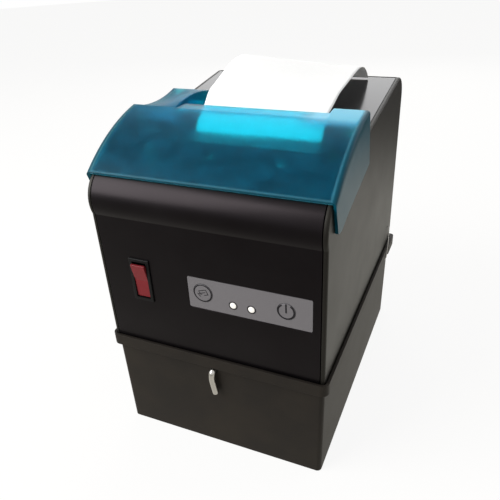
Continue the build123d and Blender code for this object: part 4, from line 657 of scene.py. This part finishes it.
class PRINTER_OT_front_cover(bpy.types.Operator):
    """Builds the blue cover as one moulded shell with its notch, its ear and its two skirts"""

    bl_idname = "printer.front_cover"
    bl_label = "Front cover"

    def across_cover(self, half, corner):
        """X of each column of the grid, and how far the roof sinks there. In a corner the place
        follows a cosine of the turn and the sinking a sine."""
        turn = np.linspace(0, np.pi / 2, CORNER_COLUMNS + 1)
        round_x = corner * (1 - np.cos(turn))
        round_z = corner * (1 - np.sin(turn))
        # 12 columns lie left of the notch, 40 in it and 8 right of it.
        across = np.concatenate(
            [
                np.full(SKIRT_COLUMNS, -half),
                -half + round_x[1:],
                np.linspace(-half + corner + 2, NOTCH_LEFT - LEFT_STEP, 12),
                [NOTCH_LEFT],
                np.linspace(NOTCH_LEFT + LEFT_STEP, NOTCH_RIGHT, 40),
                SLANT[:1],
                np.linspace(SLANT[1], half - corner - 1, 8),
                half - round_x[:0:-1],
                np.full(SKIRT_COLUMNS, half),
            ]
        )
        sink = np.zeros(across.size)
        sink[:SKIRT_COLUMNS] = sink[-SKIRT_COLUMNS:] = corner
        sink[SKIRT_COLUMNS : SKIRT_COLUMNS + CORNER_COLUMNS] = round_z[1:]
        sink[-SKIRT_COLUMNS - CORNER_COLUMNS : -SKIRT_COLUMNS] = round_z[:0:-1]
        return across, sink

    def surface(self, settings, inset):
        """Grid over the place along the cover and the way across it: up one skirt, over the roof,
        down the other. The roof's height is the arc less the sinking at the corners, and a skirt
        runs straight from the roof's corner to its low edge."""
        half = in_mm(settings.half_width) - (SKIRT_WALL if inset else 0)
        corner = max(in_mm(settings.corner) - inset * 0.5, LEAST_CORNER)
        # 34 rows lie up to the crease and 8 beyond it.
        before, beyond = np.linspace(0, BEFORE_CREASE, 34), np.linspace(BEFORE_CREASE, 1, 9)[1:]
        along = np.concatenate([before, beyond])[:, None]
        across, sink = self.across_cover(half, corner)

        notch = (across > NOTCH_LEFT - 0.1) & (across < NOTCH_RIGHT + 0.1)
        left = across < NOTCH_LEFT - 0.1
        end_y = np.where(left, LEFT_END, np.where(notch, NOTCH_END, COVER_REAR[0]))
        front_y = COVER_LIP[0] + LIP_WALL_SHARE * inset
        first = (CREASE - front_y) * np.minimum(along / BEFORE_CREASE, 1)
        last = (end_y - CREASE) * np.maximum((along - BEFORE_CREASE) / (1 - BEFORE_CREASE), 0)
        y = front_y + first + last

        z = cover_arc(settings, y, inset)
        z = np.where(notch & (along > BEFORE_CREASE), np.minimum(z, NOTCH_TOP - inset), z)
        if inset:
            beside = np.maximum(NOSE_ROOM**2 - (y - COVER_PIVOT[0]) ** 2, 0)
            z = np.maximum(z, COVER_PIVOT[1] + np.sqrt(beside))
        z = z - sink

        x = np.broadcast_to(across, y.shape).copy()
        way_down = np.linspace(0, 1, SKIRT_COLUMNS)
        left_skirt, right_skirt = slice(0, SKIRT_COLUMNS), slice(-SKIRT_COLUMNS, None)
        for columns, foot, down in (
            (left_skirt, LEFT_FOOT, way_down[::-1]),
            (right_skirt, RIGHT_FOOT, way_down),
        ):
            foot = np.array(foot)
            runs = np.linalg.norm(np.diff(foot, axis=0), axis=1)
            length = np.concatenate([[0], np.cumsum(runs)])
            at = along[:, 0] * length[-1]
            foot_y = np.interp(at, length, foot[:, 0])[:, None]
            foot_z = np.interp(at, length, foot[:, 1])[:, None]
            y[:, columns] += (foot_y - y[:, columns]) * down
            z[:, columns] += (foot_z - z[:, columns]) * down
        return np.stack([x, y, z], -1)

    def execute(self, context):
        settings = context.scene.printer_cover
        where = ("cover", "cover_blue", finish("cover_polycarbonate"))
        outer = self.surface(settings, 0.0)
        inner = self.surface(settings, in_mm(settings.wall))
        cover = shell("cover_shell", outer, inner, *where)
        soften(cover, 0.3, angle=40)
        for name, side in (("cover_pivot_left", -1), ("cover_pivot_right", 1)):
            profile = [(radius, side * x) for radius, x in PIVOT]
            turned(name, X_AXIS, profile, COVER_PIVOT, PIVOT_STEPS, *where)
        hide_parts("front_cover")
        # The cheek fills the hollow under the roof. Its top follows the arc from below, and its
        # foot is a straight line that rises towards the rear.
        y = np.linspace(*CHEEK_ENDS, 30)
        top = np.stack([y, cover_arc(settings, y, CHEEK_GAP)], -1)
        foot = np.stack([y, CHEEK_FOOT + CHEEK_SLOPE * (y - CHEEK_ENDS[0])], -1)[::-1]
        cheek = np.concatenate([top, foot])
        black = ("casing", "casing_black", finish("inner_abs"))
        prism("casing_cheek_left", X_AXIS, cheek, *CHEEK_SIDES, *black)
        return {"FINISHED"}


# The printed tail's left edge on X and its width, and Y and Z of both edges, from the slot to the
# rear end.
PAPER_LEFT = -28.5
PAPER_WIDTH = 79.5
TAIL_THICKNESS = 0.16
TAIL_ROWS, TAIL_COLUMNS = 90, 41
RIGHT_EDGE = [
    (-27.6, 212.9), (-17.5, 215.1), (-4, 218.8), (8.4, 220.4), (26, 222.2), (39, 223.4),
    (49, 223.6), (60, 221.6), (69, 217.0), (75.3, 211.6),
]
LEFT_EDGE = [
    (-27.6, 212.9), (-19.5, 220.2), (-10.5, 223.4), (0, 226.8), (12, 230.8), (23, 232.6),
    (35, 232.4), (48, 228.8), (62, 220.4), (75.3, 211.4),
]


class PRINTER_OT_paper(bpy.types.Operator):
    """Builds the end of the paper that curls up and back over the lid"""

    bl_idname = "printer.paper"
    bl_label = "Paper"

    def execute(self, context):
        # Each point lies between the two edges. Its share of the way is 0.7 of the place across,
        # plus 0.3 of a cubic that is flat at both edges.
        right = smooth_line(RIGHT_EDGE, TAIL_ROWS)
        left = smooth_line(LEFT_EDGE, TAIL_ROWS)
        across = np.linspace(0, 1, TAIL_COLUMNS)[None, :, None]
        blend = across * across * (3 - 2 * across) * 0.3 + across * 0.7
        side = left[:, None] * (1 - blend) + right[:, None] * blend
        x = np.broadcast_to(PAPER_LEFT + PAPER_WIDTH * across, (TAIL_ROWS, TAIL_COLUMNS, 1))
        top = np.concatenate([x, side], -1)
        under = top - np.array([0, 0, TAIL_THICKNESS])
        tail = shell("receipt_tail", top, under, "lid", "paper_white", finish("thermal_paper"))
        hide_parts("paper_tail")
        return {"FINISHED"}


# The release lever: Y of its front and rear ends, X of its left and right edges, and Z of its
# underside.
LEVER_FRONT, LEVER_REAR = -37.2, 13.0
LEVER_LEFT, LEVER_RIGHT = -74.5, -45.0
LEVER_UNDER = 204.5
LEVER_WALL = 2.0
LEVER_PIN = (6.0, 197.5)
# The ears: their radius round the pin, Z of their top, and X of the left one. The side plate's Z.
LEVER_EAR_RADIUS = 3.2
LEVER_EAR_TOP = 206.0
LEFT_EAR = -69.5
PLATE_LOW, PLATE_HIGH = 200.5, 205.0
LEVER_ROWS, LEVER_COLUMNS = 49, 25


class PRINTER_OT_release_lever(bpy.types.Operator):
    """Builds the saddle shaped thumb lever beside the paper, with its ears"""

    bl_idname = "printer.release_lever"
    bl_label = "Release lever"

    def execute(self, context):
        # The left edge dips by 3.5 mm and the right edge rises by 3.6 mm. Between them the height
        # moves from one to the other with the place across to the power 1.6.
        along = np.linspace(0, 1, LEVER_ROWS)
        across = np.linspace(0, 1, LEVER_COLUMNS)
        y = LEVER_FRONT + (LEVER_REAR - LEVER_FRONT) * along
        dip = bow(213.1, 212.7, -3.5, along)[:, None]
        hump = bow(211.9, 212.3, 3.6, along)[:, None]
        blend = across**1.6
        rings = np.empty((LEVER_ROWS, LEVER_COLUMNS + 2, 3))
        rings[..., 1] = y[:, None]
        rings[:, 1:-1, 0] = LEVER_LEFT + (LEVER_RIGHT - LEVER_LEFT) * across
        rings[:, 1:-1, 2] = dip * (1 - blend) + hump * blend
        rings[:, 0, 0], rings[:, -1, 0] = LEVER_LEFT, LEVER_RIGHT
        rings[:, [0, -1], 2] = LEVER_UNDER
        where = ("lever", "cover_blue", finish("lever_polycarbonate"))
        saddle = skin("lever_saddle", rings, *where)
        soften(saddle, 0.9, angle=45, segments=4)
        # The side plate stands under the right edge, and two ears carry the pin: each is a half
        # circle below the pin with straight sides up to the saddle.
        plate_left = LEVER_RIGHT - LEVER_WALL
        ends = (LEVER_FRONT, LEVER_REAR)
        outline = [(y, PLATE_LOW) for y in ends] + [(y, PLATE_HIGH) for y in ends[::-1]]
        plate = prism("lever_side_plate", X_AXIS, outline, plate_left, LEVER_RIGHT, *where)
        soften(plate, 0.4)
        turn = np.radians(np.linspace(180, 360, 25))
        circle = LEVER_EAR_RADIUS * np.stack([np.cos(turn), np.sin(turn)], -1)
        sides = LEVER_PIN[0] + LEVER_EAR_RADIUS * np.array([1, -1])
        outline = np.concatenate([LEVER_PIN + circle, [(side, LEVER_EAR_TOP) for side in sides]])
        for name, left in (("lever_ear_left", LEFT_EAR), ("lever_ear_right", plate_left)):
            prism(name, X_AXIS, outline, left, left + LEVER_WALL, *where)
        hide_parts("release_lever")
        return {"FINISHED"}


# The latch rod: its radius, how far its bends are cut back, and the length and number of the rings
# of its rounded end. The end's last ring stops short of the pole, and the cap closes it.
ROD_RADIUS = 2.15
ROD_BEND = 2.4
ROD_TIP = 1.5
TIP_RINGS = 8
TIP_TURN = 0.94
ROD_SIDES = 32


class PRINTER_OT_latch(bpy.types.Operator):
    """Builds the bent latch rod of bright steel at the front of the base, with its rounded end"""

    bl_idname = "printer.latch"
    bl_label = "Latch rod"

    def execute(self, context):
        route = [(-0.1, -90.5, 64.8), (-0.1, -99.5, 64.8), (-0.7, -99.5, 58.9), (1.4, -99.5, 47.2)]
        path = bent_line(route, ROD_BEND)
        last_run = np.array(route[-1]) - route[-2]
        last_run /= np.linalg.norm(last_run)
        # At the tip the place follows a sine of the turn, and the radius a power of its cosine.
        turn = np.linspace(0, np.pi / 2 * TIP_TURN, TIP_RINGS)
        tip = path[-1] - last_run * ROD_TIP + last_run * ROD_TIP * np.sin(turn)[:, None]
        path = np.concatenate([path[:-1], tip])
        taper = ROD_RADIUS * np.cos(turn) ** 0.7
        radius = np.concatenate([np.full(len(path) - TIP_RINGS, ROD_RADIUS), taper])
        where = ("latch", "bright_steel", finish("plated_steel"))
        rod = tube("latch_rod", path, radius, ROD_SIDES, *where)
        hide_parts("latch_lever")
        return {"FINISHED"}


# The seal wire's radius, how far its bends are cut back, and the points along a bend and round it.
SEAL_RADIUS = 0.3
SEAL_BEND = 0.9
SEAL_STEPS, SEAL_SIDES = 7, 12


class PRINTER_OT_seal(bpy.types.Operator):
    """Builds the thin seal wire that passes through two holes at the right hand rear"""

    bl_idname = "printer.seal"
    bl_label = "Seal wire"

    def execute(self, context):
        route = [
            (70.6, 85.0, 90.5), (73.3, 85.0, 90.5), (74.6, 79.5, 86.5), (75.4, 74.5, 77.5),
            (75.4, 71.2, 68.4), (73.0, 69.6, 64.5), (69.9, 69.6, 64.5),
        ]
        where = ("casing", "bright_steel", finish("plated_steel"))
        path = bent_line(route, SEAL_BEND, SEAL_STEPS)
        wire = tube("seal_loop", path, SEAL_RADIUS, SEAL_SIDES, *where)
        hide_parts("seal_wire")
        return {"FINISHED"}


# Y of the label's face and of the keys' faces. Print is drawn thicker than real ink, so that it
# is a closed form.
LABEL_FACE = -96.9
KEY_FACE = -97.2
INK = 0.06
# The lamps: X and Z of each, their radius, Y of their root, and the rise of their crown.
LAMPS = [(17.1, 118.5), (28.6, 118.4)]
LAMP_RADIUS = 2.0
LAMP_ROOT = -87.5
LAMP_CROWN = 0.35
LAMP_STEPS = 40
# X and Z of the middle of each key.
FEED_KEY = (-2.0, 123.1)
POWER_KEY = (49.6, 122.3)
# The two radii of each printed ring, the turns in degrees from where to where it runs, and the
# width of a drawn line.
LAMP_RING, FEED_RING, POWER_RING = (2.15, 2.75), (5.2, 5.9), (4.25, 5.15)
WHOLE_TURN, OPEN_TURN = (0, 360), (122, 418)
RING_STEPS = 97
SIGN_WIDTH = 0.42


def flat_ring(name, centre, radii, front, turns, *where):
    """A thin printed ring on the front: circles of two radii, from one turn to the other. It is
    closed where that is a whole turn, and an open ring otherwise."""
    inner, outer = radii
    turn = np.radians(np.linspace(*turns, RING_STEPS))
    rim = np.stack([np.cos(turn), np.zeros(RING_STEPS), np.sin(turn)], -1)
    base = np.array([centre[0], front, centre[1]])
    thick = np.array([0, INK, 0])
    inside, outside = base + rim * inner, base + rim * outer
    rings = np.stack([outside, inside, inside + thick, outside + thick], 1)
    if turns == WHOLE_TURN:
        faces = quads(RING_STEPS, 4, closed=True)
        return piece(name, rings.reshape(-1, 3), faces, *where, smooth=False)
    return skin(name, rings, *where, smooth=False)


def stroke(points, width):
    """The outline of an open line of even width: its points moved to one side, then back along
    the other. A point moves along the mean of the normals of the runs beside it, and further
    where the line turns."""
    line = np.array(points, float)
    run = np.diff(line, axis=0)
    run /= np.linalg.norm(run, axis=1)[:, None]
    normal = np.stack([-run[:, 1], run[:, 0]], -1)
    before, after = np.vstack([normal[:1], normal]), np.vstack([normal, normal[-1:]])
    mean = (before + after) / (1 + (before * after).sum(1))[:, None]
    return np.vstack([line + 0.5 * width * mean, (line - 0.5 * width * mean)[::-1]])


class PRINTER_OT_controls(bpy.types.Operator):
    """Builds the lamps and the printed rings and signs of the keys, without words"""

    bl_idname = "printer.controls"
    bl_label = "Lamps and key signs"

    def execute(self, context):
        ink = finish("print_ink")
        # A lamp is a straight stem with a shallow dome: a quarter of an ellipse up to the crown.
        turn = np.linspace(0, np.pi / 2, 10)
        dome = [(LAMP_RADIUS * np.cos(t), LABEL_FACE - LAMP_CROWN * np.sin(t)) for t in turn]
        profile = [(0, LAMP_ROOT), (LAMP_RADIUS, LAMP_ROOT), *dome]
        lens = ("casing", "lamp_white", finish("lamp_lens"))
        grey = ("casing", "label_grey", ink)
        for number, centre in enumerate(LAMPS):
            lamp = turned(f"lamp_dome_{number}", Y_AXIS, profile, centre, LAMP_STEPS, *lens)
            ring = f"lamp_ring_{number}"
            flat_ring(ring, centre, LAMP_RING, LABEL_FACE - 0.07, WHOLE_TURN, *grey)
            if number == 0:
                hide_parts("status_lights")

        front = KEY_FACE - 0.05
        feed = ("feed_key", "key_dark", ink)
        flat_ring("feed_ring", FEED_KEY, FEED_RING, front, WHOLE_TURN, *feed)
        sheet = [(0.9, -1.3), (3.4, -0.5), (2.0, 2.6), (-2.6, 1.1), (-1.9, -0.4), (1.6, 0.7)]
        arrow = [(-0.6, -0.9), (-3.2, -0.9), (-1.5, -2.7)]
        for name, line in (("feed_sheet_sign", sheet), ("feed_arrow_sign", arrow)):
            outline = stroke(line, SIGN_WIDTH) + FEED_KEY
            prism(name, Y_AXIS, outline, front, front + INK, *feed)

        power = ("power_key", "key_dark", ink)
        flat_ring("power_ring", POWER_KEY, POWER_RING, front, OPEN_TURN, *power)
        bar = np.array([(-0.47, -0.9), (0.47, -0.9), (0.47, 5.12), (-0.47, 5.12)]) + POWER_KEY
        prism("power_bar", Y_AXIS, bar, front, front + INK, *power)
        return {"FINISHED"}


# The camera in metres: its place, and the directions of its right, its top and its back.
CAMERA_PLACE = (0.13467, -0.32391, 0.29868)
CAMERA_AXES = (
    (0.91739, 0.39523, -0.04676),
    (-0.15715, 0.46768, 0.86981),
    (0.36564, -0.79061, 0.49116),
)
SENSOR_WIDTH = 36.0
# Each lamp in metres: its place, the point that it faces, its size, and the setting of its power.
STUDIO_LAMPS = (
    ("lamp_behind", (-0.2, 1.0, 0.68), (0.04, 0.05, 0.2), 0.9, "behind"),
    ("lamp_left", (-0.74, -0.73, 0.79), (0, -0.08, 0.18), 0.9, "left"),
    ("lamp_side", (0.55, 0.35, 0.55), (0.12, 0.2, 0), 0.4, "side"),
)
# The floor in millimetres, just under the feet.
FLOOR_RADIUS = 4000
FLOOR_LEVEL = -0.05
FLOOR_SIDES = 96
WHITE = linear("#ffffff")


class PRINTER_OT_stage(bpy.types.Operator):
    """Sets the camera at the photograph's view, a pale floor and plain soft light"""

    bl_idname = "printer.stage"
    bl_label = "Stage"

    def shows_background(self, add):
        """Is 1 for rays that show the background: the camera's, and those by gloss and through
        clear plastic. It also gives the camera's alone."""
        rays = add("LightPath")
        shiny = add(
            "Math",
            {"operation": "MAXIMUM"},
            {0: rays.outputs["Is Glossy Ray"], 1: rays.outputs["Is Transmission Ray"]},
        )
        seen = add("Math", {"operation": "MAXIMUM"}, {0: rays.outputs["Is Camera Ray"], 1: shiny})
        return seen, rays.outputs["Is Camera Ray"]

    def camera(self, scene, settings):
        """The camera of the photograph, solved from its straight edges."""
        data = bpy.data.cameras.new("view_camera")
        data.lens = settings.lens
        data.sensor_width = SENSOR_WIDTH
        data.clip_start = 0.01
        camera = bpy.data.objects.new("view_camera", data)
        scene.collection.objects.link(camera)
        turn = Matrix(CAMERA_AXES).transposed().to_4x4()
        turn.translation = CAMERA_PLACE
        camera.matrix_world = turn
        scene.camera = camera

    def floor_paint(self, settings):
        """Matt pale paint, which the camera sees almost white, and gloss and clear plastic see as a
        painted pool of light.
        """
        material, add, place = start("pale_floor")
        seen, by_camera = self.shows_background(add)
        paint = add("BsdfDiffuse", {"Color": tuple(settings.floor_colour)})
        # Painted pool of light: gloss sees a pool of light painted on the floor, which fades in
        # front of the printer and far behind it.
        axes = add("SeparateXYZ", links={"Vector": place})
        near, far = [
            add(
                "MapRange",
                {"From Min": first * MM, "From Max": last * MM, "To Min": low, "To Max": high},
                {"Value": axes.outputs["Y"]},
            )
            for first, last, low, high in ((-320, -20, 0.42, 1), (360, 640, 1, 0.04))
        ]
        fade = add("Math", {"operation": "MULTIPLY"}, {0: near, 1: far})
        painted_light_pool = add(
            "Mix",
            {"data_type": "RGBA", 6: linear("#000000"), 7: linear("#fffcf2")},
            {"Factor": fade},
        )
        tone = add(
            "Mix", {"data_type": "RGBA", 7: WHITE}, {"Factor": by_camera, 6: painted_light_pool.outputs[2]}
        )
        white = add("Emission", {"Strength": 1.0}, {"Color": tone.outputs[2]})
        # A tenth of the paint stays in view, so that the floor keeps the object's shadow.
        lift = add("Math", {"operation": "MULTIPLY", 1: 0.9}, {0: seen})
        mixed = add("MixShader", links={0: lift, 1: paint, 2: white})
        end(add, mixed)
        return material

    def floor(self, scene, settings):
        """A disc: points at even turns on a circle."""
        angle = np.linspace(0, 2 * np.pi, FLOOR_SIDES, endpoint=False)
        level = np.full(FLOOR_SIDES, FLOOR_LEVEL)
        ring = np.stack([np.cos(angle) * FLOOR_RADIUS, np.sin(angle) * FLOOR_RADIUS, level], -1)
        mesh = bpy.data.meshes.new("studio_floor")
        mesh.from_pydata((ring * MM).tolist(), [], [list(range(FLOOR_SIDES))])
        mesh.materials.append(self.floor_paint(settings))
        floor = bpy.data.objects.new("studio_floor", mesh)
        scene.collection.objects.link(floor)

    def sky(self, scene, settings):
        """A soft even light, which the background's rays see as plain white."""
        scene.world = bpy.data.worlds.new("soft_sky")
        scene.world.use_nodes = True
        scene.world.node_tree.nodes.clear()
        add = partial(add_node, scene.world.node_tree)
        seen, _ = self.shows_background(add)
        soft = add("Background", {"Color": WHITE, "Strength": settings.world})
        white = add("Background", {"Color": WHITE, "Strength": 1.0})
        both = add("MixShader", links={0: seen, 1: soft, 2: white})
        add("OutputWorld", links={"Surface": both})

    def execute(self, context):
        scene, settings = context.scene, context.scene.printer_stage
        self.camera(scene, settings)
        self.floor(scene, settings)
        self.sky(scene, settings)
        for name, spot, aim, size, power in STUDIO_LAMPS:
            data = bpy.data.lights.new(name, "AREA")
            data.size = size
            data.energy = getattr(settings, power)
            lamp = bpy.data.objects.new(name, data)
            scene.collection.objects.link(lamp)
            lamp.location = spot
            turn = (Vector(aim) - Vector(spot)).to_track_quat("-Z", "Y")
            lamp.rotation_euler = turn.to_euler()
        scene.view_settings.view_transform = "Standard"
        return {"FINISHED"}


OPERATORS = (
    PRINTER_OT_finishes,
    PRINTER_OT_front_cover,
    PRINTER_OT_paper,
    PRINTER_OT_release_lever,
    PRINTER_OT_latch,
    PRINTER_OT_seal,
    PRINTER_OT_controls,
    PRINTER_OT_stage,
)
SETTINGS = {
    "printer_cover": CoverSettings,
    "printer_colours": ColourSettings,
    "printer_stage": StageSettings,
}


class PRINTER_PT_panel(bpy.types.Panel):
    """Lists the settings and the operators in the 3D view's sidebar"""

    bl_idname = "PRINTER_PT_panel"
    bl_label = "Printer"
    bl_space_type = "VIEW_3D"
    bl_region_type = "UI"
    bl_category = "Printer"

    def draw(self, context):
        for group in SETTINGS:
            settings = getattr(context.scene, group)
            for key in settings.__annotations__:
                self.layout.prop(settings, key)
        for operator in OPERATORS:
            self.layout.operator(operator.bl_idname)


CLASSES = (*SETTINGS.values(), *OPERATORS, PRINTER_PT_panel)


def register():
    """Makes the classes and the settings known to Blender."""
    for item in CLASSES:
        bpy.utils.register_class(item)
    for group, settings in SETTINGS.items():
        setattr(bpy.types.Scene, group, bpy.props.PointerProperty(type=settings))


def unregister():
    """Takes the settings and the classes out again."""
    for group in SETTINGS:
        delattr(bpy.types.Scene, group)
    for item in reversed(CLASSES):
        bpy.utils.unregister_class(item)


def main():
    register()
    bpy.ops.printer.finishes()
    bpy.ops.printer.front_cover()
    bpy.ops.printer.paper()
    bpy.ops.printer.release_lever()
    bpy.ops.printer.latch()
    bpy.ops.printer.seal()
    bpy.ops.printer.controls()
    bpy.ops.printer.stage()


if __name__ == "__main__":
    main()
